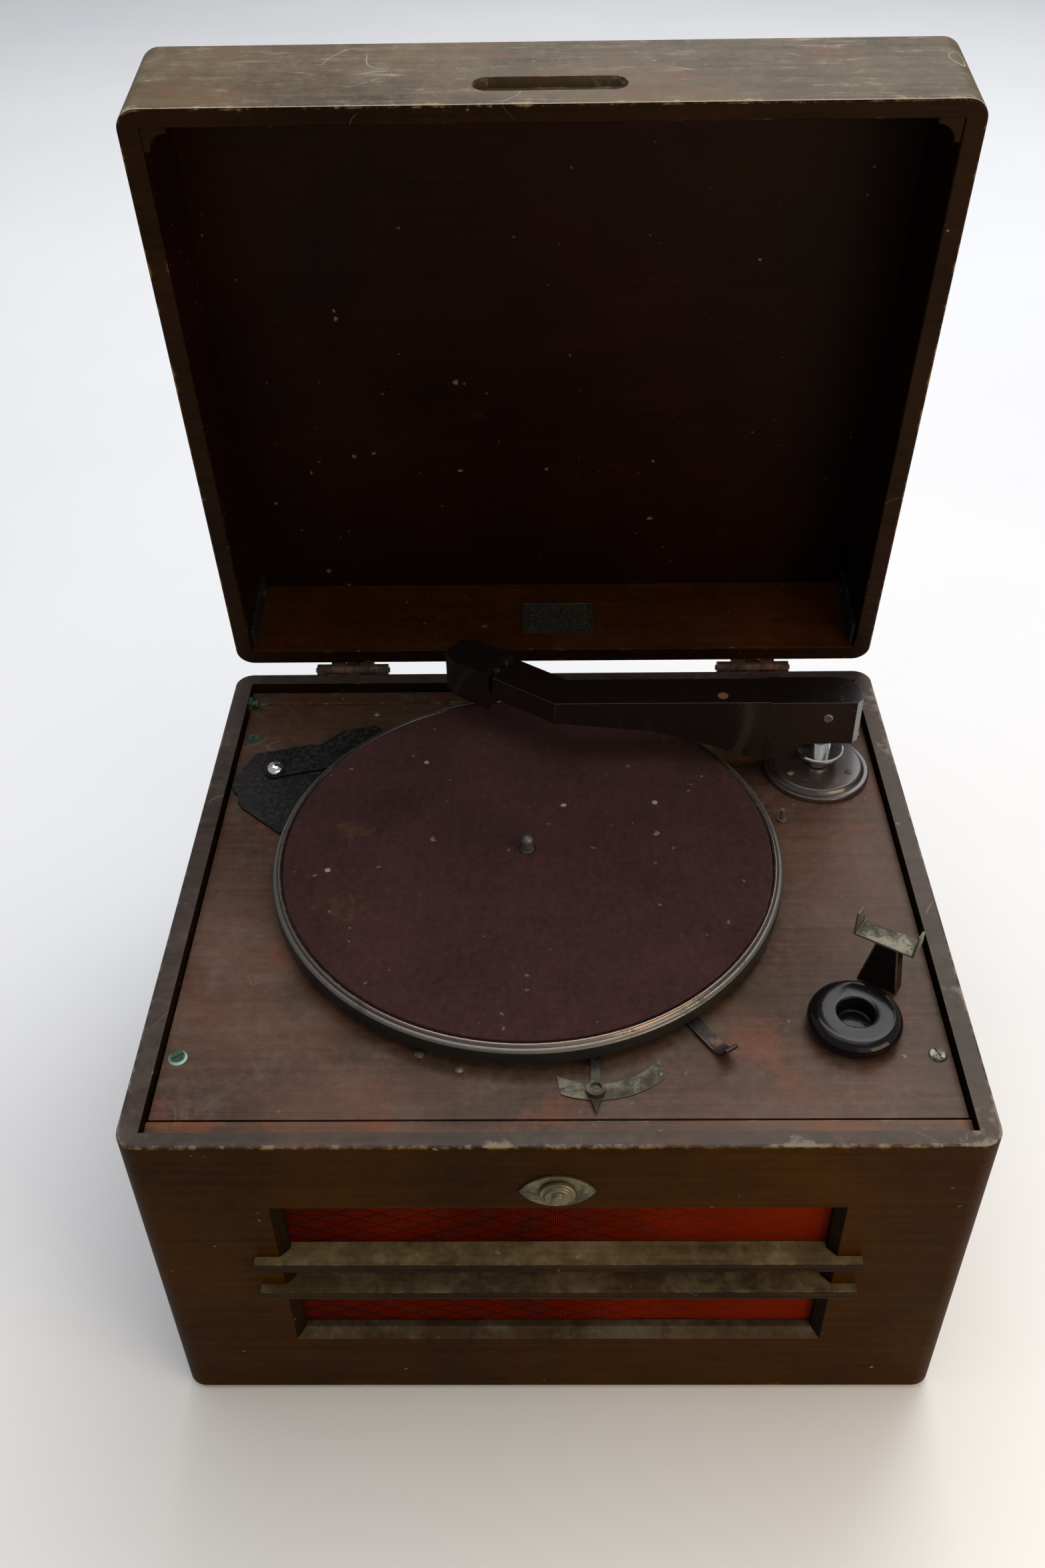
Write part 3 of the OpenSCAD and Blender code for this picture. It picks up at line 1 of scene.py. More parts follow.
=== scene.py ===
"""Looks of a table gramophone cabinet whose lid stands open.

Sizes are millimetres in the cabinet's own frame: +X to the right, +Y to the back, +Z up,
with the origin on the floor under the middle of the case. TO_FRAME carries a finished
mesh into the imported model's frame, in metres. The lid's pieces are built shut and then
turned open about their hinge.
"""
from __future__ import annotations

import json
import logging
import math
from collections.abc import Callable, Iterable, Sequence
from dataclasses import dataclass, field
from enum import Enum, IntEnum
from typing import ClassVar

import bmesh
import bpy
from mathutils import Matrix, Vector, noise

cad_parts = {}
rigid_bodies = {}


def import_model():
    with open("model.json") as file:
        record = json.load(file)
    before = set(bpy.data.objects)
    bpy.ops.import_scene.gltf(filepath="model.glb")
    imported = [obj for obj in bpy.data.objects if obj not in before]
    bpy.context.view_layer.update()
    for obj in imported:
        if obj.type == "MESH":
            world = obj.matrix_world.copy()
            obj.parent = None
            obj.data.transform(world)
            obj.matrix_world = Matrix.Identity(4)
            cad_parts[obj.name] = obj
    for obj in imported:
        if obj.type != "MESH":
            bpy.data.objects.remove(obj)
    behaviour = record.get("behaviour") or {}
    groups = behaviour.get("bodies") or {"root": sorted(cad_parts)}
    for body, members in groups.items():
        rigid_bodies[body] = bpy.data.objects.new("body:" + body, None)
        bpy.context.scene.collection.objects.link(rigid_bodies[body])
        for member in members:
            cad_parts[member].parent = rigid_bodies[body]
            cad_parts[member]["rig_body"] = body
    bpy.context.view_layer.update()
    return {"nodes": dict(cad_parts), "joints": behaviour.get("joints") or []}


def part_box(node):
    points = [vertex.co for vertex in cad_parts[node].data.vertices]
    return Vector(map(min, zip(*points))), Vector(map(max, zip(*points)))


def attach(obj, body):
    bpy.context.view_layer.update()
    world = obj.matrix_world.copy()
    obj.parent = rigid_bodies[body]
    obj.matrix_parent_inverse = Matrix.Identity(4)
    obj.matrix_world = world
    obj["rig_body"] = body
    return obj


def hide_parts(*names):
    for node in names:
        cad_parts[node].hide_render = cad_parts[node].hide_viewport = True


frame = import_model()

LOG = logging.getLogger("gramophone")
MM = 0.001
HALF_WIDTH = 220.0
HALF_DEPTH = 196.0
FOOT = 4.0
RIM = 239.0
DECK = 231.0
SIDE_WALL = 11.5
INNER_X = HALF_WIDTH - SIDE_WALL
INNER_BACK = HALF_DEPTH - SIDE_WALL
LID_RIM = 239.5
LID_TOP = 315.5
ORIGIN_Y = -HALF_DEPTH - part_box("front_panel")[0].y / MM
TO_FRAME = Matrix.Scale(MM, 4) @ Matrix.Translation((0.0, -ORIGIN_Y, 0.0))
LID_HINGE = next(joint for joint in frame["joints"] if joint["name"] == "lid_hinge")
LID_OPEN = math.radians(LID_HINGE["range_deg"][0])
HINGE = TO_FRAME.inverted() @ Vector(LID_HINGE["pos_m"])
SWING_OPEN = Matrix.Translation(HINGE) @ Matrix.Rotation(LID_OPEN, 4, "X") @ Matrix.Translation(-HINGE)
BACKWARD = Matrix.Rotation(math.radians(-90), 4, "X")
FORWARD = Matrix.Rotation(math.radians(90), 4, "X")

Colour = tuple[float, float, float, float]
Point = tuple[float, float, float]
Marks = tuple[tuple[Point, float], ...]
Solid = bmesh.types.BMesh
Face = bmesh.types.BMFace
Edge = bmesh.types.BMEdge


def tint(red: float, green: float, blue: float) -> Colour:
    """Turns a display colour of 0 to 255 into the linear colour that a socket takes."""
    return tuple((part / 255.0) ** 2.2 for part in (red, green, blue)) + (1.0,)


# ---------- shader building ----------


class Signal:
    """One output of a node, on which arithmetic can be written."""

    def __init__(self, paint: Paint, socket: bpy.types.NodeSocket) -> None:
        """Keeps the paint that owns the node, and the node's output."""
        self.paint = paint
        self.socket = socket

    def __add__(self, other: Signal | float) -> Signal:
        """Returns the sum."""
        return self.paint.math("ADD", self, other)

    def __mul__(self, other: Signal | float) -> Signal:
        """Returns the product."""
        return self.paint.math("MULTIPLY", self, other)

    def __sub__(self, other: Signal | float) -> Signal:
        """Returns the difference."""
        return self.paint.math("SUBTRACT", self, other)

    def __rsub__(self, other: Signal | float) -> Signal:
        """Returns the other number less this one."""
        return self.paint.math("SUBTRACT", other, self)

    def __truediv__(self, other: Signal | float) -> Signal:
        """Returns the quotient."""
        return self.paint.math("DIVIDE", self, other)

    __radd__ = __add__
    __rmul__ = __mul__

    def __abs__(self) -> Signal:
        """Returns the size without its sign."""
        return self.paint.math("ABSOLUTE", self)

    def lower(self, other: Signal | float) -> Signal:
        """Returns the smaller of two numbers."""
        return self.paint.math("MINIMUM", self, other)

    def higher(self, other: Signal | float) -> Signal:
        """Returns the larger of two numbers."""
        return self.paint.math("MAXIMUM", self, other)

    def rise(self, low: float, high: float) -> Signal:
        """Maps this number to 0 below low and 1 above high, smoothly between them.

        Args:
            low: Where the rise starts.
            high: Where it ends; a high below low gives a fall.

        Returns:
            The mask, from 0 to 1.
        """
        settings = {"interpolation_type": "SMOOTHSTEP"}
        if high >= low:
            inputs = {"Value": self, "From Min": low, "From Max": high}
        else:
            inputs = {"Value": self, "From Min": high, "From Max": low, "To Min": 1.0, "To Max": 0.0}
        return self.paint.signal("ShaderNodeMapRange", settings, inputs)


@dataclass(frozen=True)
class Stance:
    """Frame that a pattern is measured in, so that it lies along the piece's own faces."""

    origin: Point
    turn: float = 0.0


@dataclass(frozen=True)
class Block:
    """Box whose edges are rubbed: the frame it lies in, its middle and half of its size, in metres."""

    stance: Stance
    middle: Point
    half: Point

    @staticmethod
    def between(stance: Stance, low: float, high: float, origin: Point = (0.0, 0.0, 0.0)) -> Block:
        """Makes the block of the case's outline that stands between two levels in millimetres.

        Args:
            stance: Frame that the block is measured in.
            low: Level of its foot.
            high: Level of its top.
            origin: Place of the frame's origin, in millimetres.

        Returns:
            The block.
        """
        middle = (0.0, (0.0 - origin[1]) * MM, ((low + high) / 2 - origin[2]) * MM)
        return Block(stance, middle, (HALF_WIDTH * MM, HALF_DEPTH * MM, (high - low) / 2 * MM))


CASE_STANCE = Stance((0.0, -ORIGIN_Y * MM, 0.0))
LID_STANCE = Stance(tuple(LID_HINGE["pos_m"]), LID_OPEN)
CASE_BLOCK = Block.between(CASE_STANCE, FOOT, RIM)
LID_BLOCK = Block.between(LID_STANCE, LID_RIM, LID_TOP, tuple(HINGE))


class Paint:
    """A material in the making; every node is added through node()."""

    def __init__(self, name: str, stance: Stance = CASE_STANCE) -> None:
        """Starts an empty material with its pattern coordinates.

        Args:
            name: Name of the material.
            stance: Frame that the pattern is measured in.
        """
        self.material = bpy.data.materials.new(name)
        self.material.use_nodes = True
        self.tree = self.material.node_tree
        self.tree.nodes.clear()
        place = self.node("ShaderNodeTexCoord")
        self.spot = self.laid(Signal(self, place.outputs["Object"]), stance.origin, stance.turn)
        self.facing = self.parts(Signal(self, place.outputs["Normal"]))

    def node(self, kind: str, settings: dict | None = None, inputs: dict | None = None) -> bpy.types.Node:
        """Adds one node.

        Args:
            kind: Blender's name of the node type.
            settings: Properties to set first; "stops" is a ramp's list of place and colour.
            inputs: Values or signals, by the socket's name or number.

        Returns:
            The new node.
        """
        made = self.tree.nodes.new(kind)
        for name, value in (settings or {}).items():
            if name == "stops":
                self.set_stops(made.color_ramp, value)
            else:
                setattr(made, name, value)
        for key, value in (inputs or {}).items():
            if isinstance(value, Signal):
                self.tree.links.new(value.socket, made.inputs[key])
            else:
                made.inputs[key].default_value = value
        return made

    def signal(self, kind: str, settings: dict, inputs: dict | None = None, output: int | str = 0) -> Signal:
        """Adds one node and keeps one of its outputs.

        Args:
            kind: Blender's name of the node type.
            settings: Properties to set first.
            inputs: Values or signals, by the socket's name or number.
            output: Name or number of the output.

        Returns:
            The output.
        """
        return Signal(self, self.node(kind, settings, inputs).outputs[output])

    @staticmethod
    def set_stops(ramp: bpy.types.ColorRamp, stops: Sequence[tuple[float, Colour]]) -> None:
        """Gives a colour ramp its stops.

        Args:
            ramp: Ramp to set, which starts with two stops.
            stops: Place and colour of each stop, from left to right.
        """
        for number, (place, colour) in enumerate(stops):
            stop = ramp.elements[number] if number < 2 else ramp.elements.new(place)
            stop.position = place
            stop.color = colour

    def math(self, operation: str, *values: Signal | float) -> Signal:
        """Adds a Math node for one operation on one or two numbers."""
        return self.signal("ShaderNodeMath", {"operation": operation}, dict(enumerate(values)))

    def vector(self, operation: str, *values: Signal | Point) -> Signal:
        """Adds a Vector Math node for one operation on one or two vectors."""
        return self.signal("ShaderNodeVectorMath", {"operation": operation}, dict(enumerate(values)))

    def laid(self, spot: Signal, origin: Point, turn: float) -> Signal:
        """Measures a place from an origin, turned about X, as a Mapping node does."""
        inputs = {"Vector": spot, "Location": origin, "Rotation": (turn, 0.0, 0.0)}
        return self.signal("ShaderNodeMapping", {"vector_type": "TEXTURE"}, inputs)

    def parts(self, vector: Signal) -> tuple[Signal, Signal, Signal]:
        """Splits a vector into its three numbers."""
        made = self.node("ShaderNodeSeparateXYZ", {}, {0: vector})
        return tuple(Signal(self, output) for output in made.outputs)

    def stretched(self, repeats: Point) -> Signal:
        """Returns the pattern's place with its own number of repeats per metre each way."""
        return self.vector("MULTIPLY", self.spot, repeats)

    def noise(self, scale: float, detail: float = 4.0, rough: float = 0.55,
              at: Signal | None = None, swirl: float = 0.0) -> Signal:
        """Adds cloudy noise.

        Args:
            scale: Repeats per metre, or per unit of at.
            detail: Number of finer layers.
            rough: Strength of the finer layers.
            at: Place to read; the pattern's own place if left out.
            swirl: How far the noise bends itself.

        Returns:
            The noise, from 0 to 1 around 0.5.
        """
        return self.signal("ShaderNodeTexNoise", {}, {
            "Vector": at or self.spot, "Scale": scale, "Detail": detail, "Roughness": rough,
            "Distortion": swirl})

    def specks(self, scale: float, size: float, share: float, level: bool = False) -> Signal:
        """Scatters small irregular specks.

        Args:
            scale: Cells per metre; each holds one speck or none.
            size: Radius of the largest speck, as a share of a cell.
            share: Share of the cells that hold a speck.
            level: Whether the specks lie on a level face, and not in a block.

        Returns:
            The mask, 1 on a speck.
        """
        bend = {"Vector": self.spot, "Scale": scale * 3.0, "Detail": 2.0}
        bent = self.signal("ShaderNodeTexNoise", {}, bend, "Color")
        spread = self.vector("MULTIPLY", bent, (0.35 / scale,) * 3)
        cells = self.node("ShaderNodeTexVoronoi", {"voronoi_dimensions": "2D" if level else "3D"},
                          {"Vector": self.vector("ADD", self.spot, spread), "Scale": scale})
        chance, spread_of_size, _ = self.parts(Signal(self, cells.outputs["Color"]))
        radius = (0.35 + 0.65 * spread_of_size) * size
        inside = (Signal(self, cells.outputs["Distance"]) / radius).rise(1.0, 0.6)
        return inside * chance.rise(1.0 - share, 1.001 - share)

    def scratches(self, scale: float, width: float, share: float) -> Signal:
        """Draws thin wandering lines, broken up by a second noise.

        Args:
            scale: Repeats per metre of the curves.
            width: Width of a line in noise units.
            share: Share of the surface that has lines.

        Returns:
            The mask, 1 on a line.
        """
        line = abs(self.noise(scale, 1.0, 0.4, swirl=0.6) - 0.5).rise(width, 0.0)
        return line * self.noise(scale * 1.7, 2.0).rise(1.0 - share, 1.08 - share)

    def around(self, places: Marks) -> Signal | float:
        """Marks the surroundings of a few places.

        Args:
            places: Each place, in the pattern's frame, with the distance at which its mark ends.

        Returns:
            The mask, 1 at each place and 0 beyond its distance.
        """
        mask: Signal | float = 0.0
        for place, reach in places:
            apart = self.signal("ShaderNodeVectorMath", {"operation": "DISTANCE"},
                                {0: self.spot, 1: place}, "Value")
            mask = apart.rise(reach, 0.0) + mask
        return mask

    def worn_edge(self) -> Signal:
        """Reads the attribute that marks a piece's eased edges."""
        settings = {"attribute_type": "GEOMETRY", "attribute_name": "worn"}
        return self.signal("ShaderNodeAttribute", settings, output="Fac")

    def edge_distance(self, block: Block) -> Signal:
        """Measures how far a place on a block's faces is from the block's nearest edge.

        Args:
            block: Box that the pattern lies on.

        Returns:
            The distance, in metres.
        """
        offset = self.vector("ABSOLUTE", self.vector("SUBTRACT", self.spot, block.middle))
        x, y, z = self.parts(self.vector("SUBTRACT", block.half, offset))
        return x.lower(y).higher(x.higher(y).lower(z))

    def ramp(self, amount: Signal, *stops: tuple[float, Colour]) -> Signal:
        """Colours a number by a ramp."""
        return self.signal("ShaderNodeValToRGB", {"stops": stops}, {0: amount})

    def mix(self, share: Signal, under: Signal | Colour, over: Signal | Colour) -> Signal:
        """Lays one colour over another by a mask."""
        return self.signal("ShaderNodeMix", {"data_type": "RGBA"}, {0: share, 6: under, 7: over}, 2)

    def surface(self, height: Signal, depth: float, strength: float = 1.0,
                **sockets: Signal | Colour | float) -> bpy.types.Material:
        """Ends the material with its shader and the relief of its surface.

        Args:
            height: Relief, from 0 to 1.
            depth: Depth of the relief in millimetres.
            strength: How much of the relief shows.
            sockets: The shader's inputs by name, with _ for each space.

        Returns:
            The finished material.
        """
        relief = {"Height": height, "Distance": depth * MM, "Strength": strength}
        inputs = {name.replace("_", " "): value for name, value in sockets.items()}
        inputs["Normal"] = self.signal("ShaderNodeBump", {}, relief)
        self.node("ShaderNodeOutputMaterial", {}, {0: self.signal("ShaderNodeBsdfPrincipled", {}, inputs)})
        return self.material


# ---------- finishes ----------


@dataclass(frozen=True)
class Finish:
    """A surface finish, made into a material once and then shared."""

    made: ClassVar[dict[str, bpy.types.Material]] = {}
    name: str
    slot: str

    def material(self) -> bpy.types.Material:
        """Gives the finish's material, and makes it the first time.

        Returns:
            The material.
        """
        if self.name not in Finish.made:
            Finish.made[self.name] = self.paint()
        return Finish.made[self.name]

    def paint(self) -> bpy.types.Material:
        """Makes the material."""
        raise NotImplementedError


class Grain(Enum):
    """Direction of the wood's grain, as repeats per metre along X, Y and Z."""

    WALLS = (7.0, 7.0, 260.0)
    ACROSS_X = (7.0, 240.0, 40.0)


@dataclass(frozen=True)
class Veneer(Finish):
    """Stained and lacquered wood, worn at its edges, scratched and dusty on top."""

    deep: Colour
    warm: Colour
    bare: Colour
    dust: Colour = tint(124, 116, 108)
    grain: Grain = Grain.WALLS
    block: Block = CASE_BLOCK
    edge_wear: float = 0.0
    strip_wear: float = 0.3
    dusting: float = 0.2
    scratching: float = 0.3
    blotches: float = 0.5
    figure: float = 0.5
    flush: Colour = (0.0, 0.0, 0.0, 1.0)
    flush_share: float = 0.0
    knocks: Marks = ()
    # The next three fields paint shade into the colour: a painted shadow round marked places, the tone of the
    # painted shade, and the back darkened as painted shade.
    grime_and_shade: Marks = ()
    shade_tone: Colour = (0.02, 0.013, 0.007, 1.0)
    back_shade: float = 0.0
    scuffs: float = 0.0
    motes: float = 0.5
    rough: float = 0.42
    coat: float = 0.0
    gloss: float = 0.3
    polish: Colour = (1.0, 0.84, 0.66, 1.0)

    def paint(self) -> bpy.types.Material:
        """Layers grain, wear, scratches and dust, and paints shade where a finish asks for it: a darker back
        and a shadow round marked places.

        Returns:
            The material.
        """
        p = Paint(self.name, self.block.stance)
        along = p.stretched(self.grain.value)
        figure = p.noise(1.0, 6.0, 0.62, at=along, swirl=0.4)
        pores = p.noise(3.2, 3.0, 0.7, at=along)
        cloud = p.noise(11.0, 3.0)
        grit = p.noise(160.0, 5.0, 0.7)
        patch = p.noise(28.0, 4.0, 0.65)
        tone = ((figure - 0.5) * self.figure + (cloud - 0.5) * self.blotches
                + (pores - 0.5) * self.figure * 0.4 + (grit - 0.5) * 0.25 + 0.5)
        colour = p.ramp(tone, (0.3, self.deep), (0.72, self.warm))
        if self.flush_share:
            flushed = figure * 0.35 + p.noise(19.0, 3.0, 0.6, swirl=0.5) * 0.9 + (grit - 0.5) * 0.3
            spared = self.flush_share * 0.5
            colour = p.mix(flushed.rise(0.85 - spared, 1.0 - spared) * 0.6, colour, self.flush)
        # Painted shade: the colour darkens towards the back, as under the open lid.
        if self.back_shade:
            back_shaded = (p.parts(p.spot)[1] + (patch - 0.5) * 0.08).rise(0.06, 0.2) * self.back_shade
            colour = p.mix(back_shaded, colour, self.shade_tone)
        # Painted shadow: the colour darkens round the marked places, in the shade tone.
        if self.grime_and_shade:
            painted_shadow = (p.around(self.grime_and_shade) + (patch - 0.5) * 0.4).rise(0.1, 1.3) * 0.75
            colour = p.mix(painted_shadow, colour, self.shade_tone)
        near = p.edge_distance(self.block).rise(0.006, 0.0)
        exposed = near * self.edge_wear + p.worn_edge() * self.strip_wear + p.around(self.knocks) * 0.6
        rubbed = (exposed + (patch - 0.5) * 1.2 + (grit - 0.5) * 2.2).rise(0.4, 0.9)
        rubbed = rubbed * exposed.rise(0.0, 0.5)
        colour = p.mix(rubbed * 0.8, colour, self.bare)
        lines = (p.scratches(16.0, 0.006, 0.45)
                 + p.scratches(41.0, 0.012, 0.2 + 0.35 * self.scratching) * 0.6
                 + p.scratches(95.0, 0.022, 0.55 * self.scratching) * 0.4)
        colour = p.mix((lines * self.scratching).rise(0.0, 1.0), colour, self.bare)
        if self.scuffs:
            streak = p.noise(1.0, 5.0, 0.72, at=p.stretched((26.0, 26.0, 190.0)), swirl=0.8)
            scuffed = streak.rise(0.52, 0.72) * (patch + grit * 0.6).rise(0.6, 0.95) * self.scuffs
            colour = p.mix(scuffed, colour, self.bare)
        film = p.facing[2].rise(0.25, 0.9) * (patch * 0.9 + grit * 0.5).rise(0.45, 1.05) * self.dusting
        motes = p.specks(70.0, 0.16, 0.3 * self.motes) + p.specks(150.0, 0.2, 0.25 * self.motes) * 0.6
        colour = p.mix((film + motes * 0.55).rise(0.0, 1.0), colour, self.dust)
        rough = self.rough + film * 0.35 + rubbed * 0.2 + (cloud - 0.5) * 0.16 + lines * 0.1
        height = pores * 0.5 + figure * 0.3 - lines * self.scratching * 0.6 - rubbed * 0.3 + motes * 0.5
        return p.surface(height, 0.22, 0.75, Base_Color=colour, Roughness=rough, Coat_Weight=self.coat,
                         Coat_Roughness=0.32, Specular_IOR_Level=self.gloss, Specular_Tint=self.polish)


@dataclass(frozen=True)
class Metal(Finish):
    """Bare or plated metal with tarnish in patches and brighter edges."""

    bright: Colour
    tarnish: Colour
    share: float = 0.6
    scale: float = 60.0
    rough: float = 0.4
    metallic: float = 0.6
    bloom: Colour | None = None
    bloom_share: float = 0.3
    depth: float = 0.08
    dust: Colour = tint(118, 108, 96)

    def paint(self) -> bpy.types.Material:
        """Layers polish, tarnish, bloom and dust.

        Returns:
            The material.
        """
        p = Paint(self.name)
        cloud = p.noise(self.scale, 5.0, 0.62)
        grit = p.noise(self.scale * 9.0, 4.0, 0.7)
        edge = p.worn_edge()
        spared = self.share * 0.5
        dull = (cloud * 0.8 + grit * 0.35 - edge * 0.25).rise(0.78 - spared, 0.98 - spared)
        colour = p.mix(dull, self.bright, self.tarnish)
        rough = self.rough + dull * 0.28 + (grit - 0.5) * 0.16
        metallic = self.metallic - dull * 0.35 * self.metallic
        if self.bloom:
            crust = p.noise(self.scale * 2.3, 4.0, 0.6) * 0.8 + grit * 0.3 - edge * 0.1
            spared = self.bloom_share * 0.4
            crust = crust.rise(0.72 - spared, 0.84 - spared)
            colour = p.mix(crust, colour, self.bloom)
            rough = rough + crust * 0.3
            metallic = metallic * (1.0 - crust)
        fine = p.scratches(240.0, 0.02, 0.5)
        film = p.facing[2].rise(0.4, 0.95) * grit.rise(0.42, 0.8) * 0.3
        colour = p.mix(film, colour, self.dust)
        height = cloud * 0.4 + grit * 0.5 - fine * 0.3
        return p.surface(height, self.depth, 0.6, Base_Color=colour,
                         Roughness=rough + film * 0.3, Metallic=metallic * (1.0 - film))


@dataclass(frozen=True)
class Moulded(Finish):
    """Black moulded resin, glossy, with fine scratches, dust and dull worn edges."""

    body: Colour
    edge: Colour
    rough: float = 0.18
    coat: float = 0.5
    dusting: float = 0.35
    gloss: float = 0.5
    bald: Marks = ()
    under: Colour = (0.19, 0.1, 0.06, 1.0)
    dust: Colour = tint(112, 104, 100)

    def paint(self) -> bpy.types.Material:
        """Layers gloss, scratches, dust and worn edges.

        Returns:
            The material.
        """
        p = Paint(self.name)
        cloud = p.noise(45.0, 4.0)
        grit = p.noise(420.0, 4.0, 0.7)
        worn = (p.worn_edge() * 0.8 + (grit - 0.5) * 0.7 + (cloud - 0.5) * 0.8).rise(0.45, 0.9)
        lines = p.scratches(90.0, 0.01, 0.5)
        film = p.facing[2].rise(0.3, 0.95) * (cloud * 0.8 + grit * 0.4).rise(0.35, 0.95) * self.dusting
        motes = p.specks(160.0, 0.14, 0.2) * self.dusting
        colour = p.mix(worn * 0.5, self.body, self.edge)
        if self.bald:
            bald = (p.around(self.bald) + (cloud - 0.5) * 0.3).rise(0.4, 0.55) * 0.8
            colour = p.mix(bald, colour, self.under)
        colour = p.mix((film * 0.5 + motes + lines * 0.12).rise(0.0, 1.0), colour, self.dust)
        rough = self.rough + film * 0.4 + worn * 0.15 + (grit - 0.5) * 0.08 + lines * 0.15
        height = cloud * 0.25 + grit * 0.2 + motes * 0.5 - lines * 0.4
        return p.surface(height, 0.1, 0.5, Base_Color=colour, Roughness=rough, Coat_Weight=self.coat,
                         Coat_Roughness=0.14, Specular_IOR_Level=self.gloss)


@dataclass(frozen=True)
class Felt(Finish):
    """Short plum felt with rubbed patches, lint, and a few stains."""

    pile: Colour
    shade: Colour
    lint: Colour
    stain: Colour
    spilt: Marks = ()
    fluff: Marks = ()

    def paint(self) -> bpy.types.Material:
        """Layers the pile, its rubbed patches, stains and lint.

        Returns:
            The material.
        """
        p = Paint(self.name)
        fibres = p.noise(900.0, 3.0, 0.8, swirl=1.2)
        tufts = p.noise(230.0, 4.0, 0.65)
        cloud = p.noise(16.0, 4.0, 0.6)
        nap = p.noise(1.0, 3.0, 0.7, at=p.stretched((260.0, 90.0, 90.0)))
        colour = p.ramp(cloud * 0.45 + tufts * 0.4 + (fibres - 0.5) * 0.5 + nap * 0.3 - 0.07,
                        (0.3, self.shade), (0.75, self.pile))
        stained = (p.noise(60.0, 4.0, 0.7, swirl=0.8) + p.around(self.spilt) * 0.22).rise(0.66, 0.84)
        colour = p.mix(stained * 0.28, colour, self.stain)
        lint = (p.specks(30.0, 0.07, 0.06, True) * 0.5 + p.specks(80.0, 0.12, 0.12, True) * 0.4
                + p.specks(210.0, 0.2, 0.12, True) * (cloud + tufts - 0.6).rise(0.2, 0.9) * 0.35
                + (p.around(self.fluff) + (tufts - 0.5) * 1.2).rise(0.3, 0.6) * 0.9)
        hairs = p.scratches(75.0, 0.006, 0.2) * 0.45
        colour = p.mix((lint + hairs).rise(0.0, 1.2) * 0.85, colour, self.lint)
        height = fibres * 0.6 + tufts * 0.5 + lint * 0.6
        return p.surface(height, 0.5, 0.8, Base_Color=colour, Roughness=0.93 + (fibres - 0.5) * 0.1,
                         Sheen_Weight=0.05, Sheen_Roughness=0.6, Specular_IOR_Level=0.08)


@dataclass(frozen=True)
class Cloth(Finish):
    """Stretched loudspeaker cloth: a fine weave with a slanting lattice."""

    thread: Colour
    gap: Colour
    faded: Colour
    pitch: float = 1.1
    lattice: float = 10.5
    lean: float = 0.45
    dust: Colour = tint(120, 90, 70)

    def paint(self) -> bpy.types.Material:
        """Layers the weave, the lattice, fading and dust.

        Returns:
            The material.
        """
        p = Paint(self.name)
        x, _, z = p.parts(p.spot)
        turns = math.pi / (self.pitch * MM)
        weave = abs(p.math("SINE", x * turns)) * abs(p.math("SINE", z * turns))
        slope = math.pi / (self.lattice * MM)
        sway = (p.noise(30.0, 2.0) - 0.5) * 0.8
        one = abs(p.math("SINE", (x * self.lean + z) * slope + sway))
        two = abs(p.math("SINE", (x * self.lean - z) * slope + sway))
        diamond = one.lower(two).rise(0.34, 0.08)
        cloud = p.noise(14.0, 4.0)
        colour = p.ramp(weave * 0.7 + (cloud - 0.5) * 0.6 + 0.15, (0.2, self.gap), (0.75, self.thread))
        colour = p.mix(diamond * 0.5, colour, self.gap)
        colour = p.mix(x.rise(-0.02, 0.16) * 0.5 + cloud.rise(0.5, 0.8) * 0.2, colour, self.faded)
        dust = p.specks(160.0, 0.14, 0.2) * 0.3
        colour = p.mix(dust, colour, self.dust)
        return p.surface(weave + diamond * 0.4, 0.3, 0.8, Base_Color=colour, Roughness=0.85 + dust * 0.1,
                         Specular_IOR_Level=0.04, Specular_Tint=(1.0, 0.5, 0.3, 1.0))


@dataclass(frozen=True)
class Matte(Finish):
    """Plain matt stuff, such as pressed paper, hard rubber and bare iron castings."""

    low: Colour
    high: Colour
    scale: float = 90.0
    rough: float = 0.8
    metallic: float = 0.0
    dust: Colour = tint(120, 110, 98)

    def paint(self) -> bpy.types.Material:
        """Layers two tones, grit and dust.

        Returns:
            The material.
        """
        p = Paint(self.name)
        cloud = p.noise(self.scale, 5.0, 0.6)
        grit = p.noise(self.scale * 8.0, 4.0, 0.7)
        colour = p.ramp(cloud * 0.7 + grit * 0.3, (0.3, self.low), (0.7, self.high))
        film = p.facing[2].rise(0.3, 0.95) * grit.rise(0.4, 0.8) * 0.4
        colour = p.mix(film, colour, self.dust)
        return p.surface(cloud * 0.5 + grit * 0.5, 0.2, 0.7, Base_Color=colour,
                         Roughness=self.rough + (grit - 0.5) * 0.15, Metallic=self.metallic)


@dataclass(frozen=True)
class ValveGlass(Finish):
    """A valve's dark base and clear bulb, with silvery getter at its top."""

    base_top: float
    getter_low: float
    resin: Colour = tint(34, 26, 22)
    glass: Colour = tint(205, 214, 214)
    silver: Colour = tint(170, 172, 170)

    def paint(self) -> bpy.types.Material:
        """Parts the base, the bulb and the getter by height.

        Returns:
            The material.
        """
        p = Paint(self.name)
        level = p.parts(p.spot)[2]
        bulb = level.rise(self.base_top - 0.001, self.base_top + 0.001)
        cloud = (p.noise(60.0, 3.0) - 0.5) * 0.02
        getter = (level + cloud).rise(self.getter_low, self.getter_low + 0.012)
        colour = p.mix(bulb, self.resin, self.glass)
        colour = p.mix(getter, colour, self.silver)
        grime_and_shade = p.noise(130.0, 4.0)
        return p.surface(grime_and_shade, 0.05, 0.4, Base_Color=colour, Roughness=0.5 - bulb * 0.38 + grime_and_shade * 0.1,
                         Metallic=getter * 0.9, Alpha=1.0 - bulb * 0.72 + getter * 0.62, Coat_Weight=0.2)


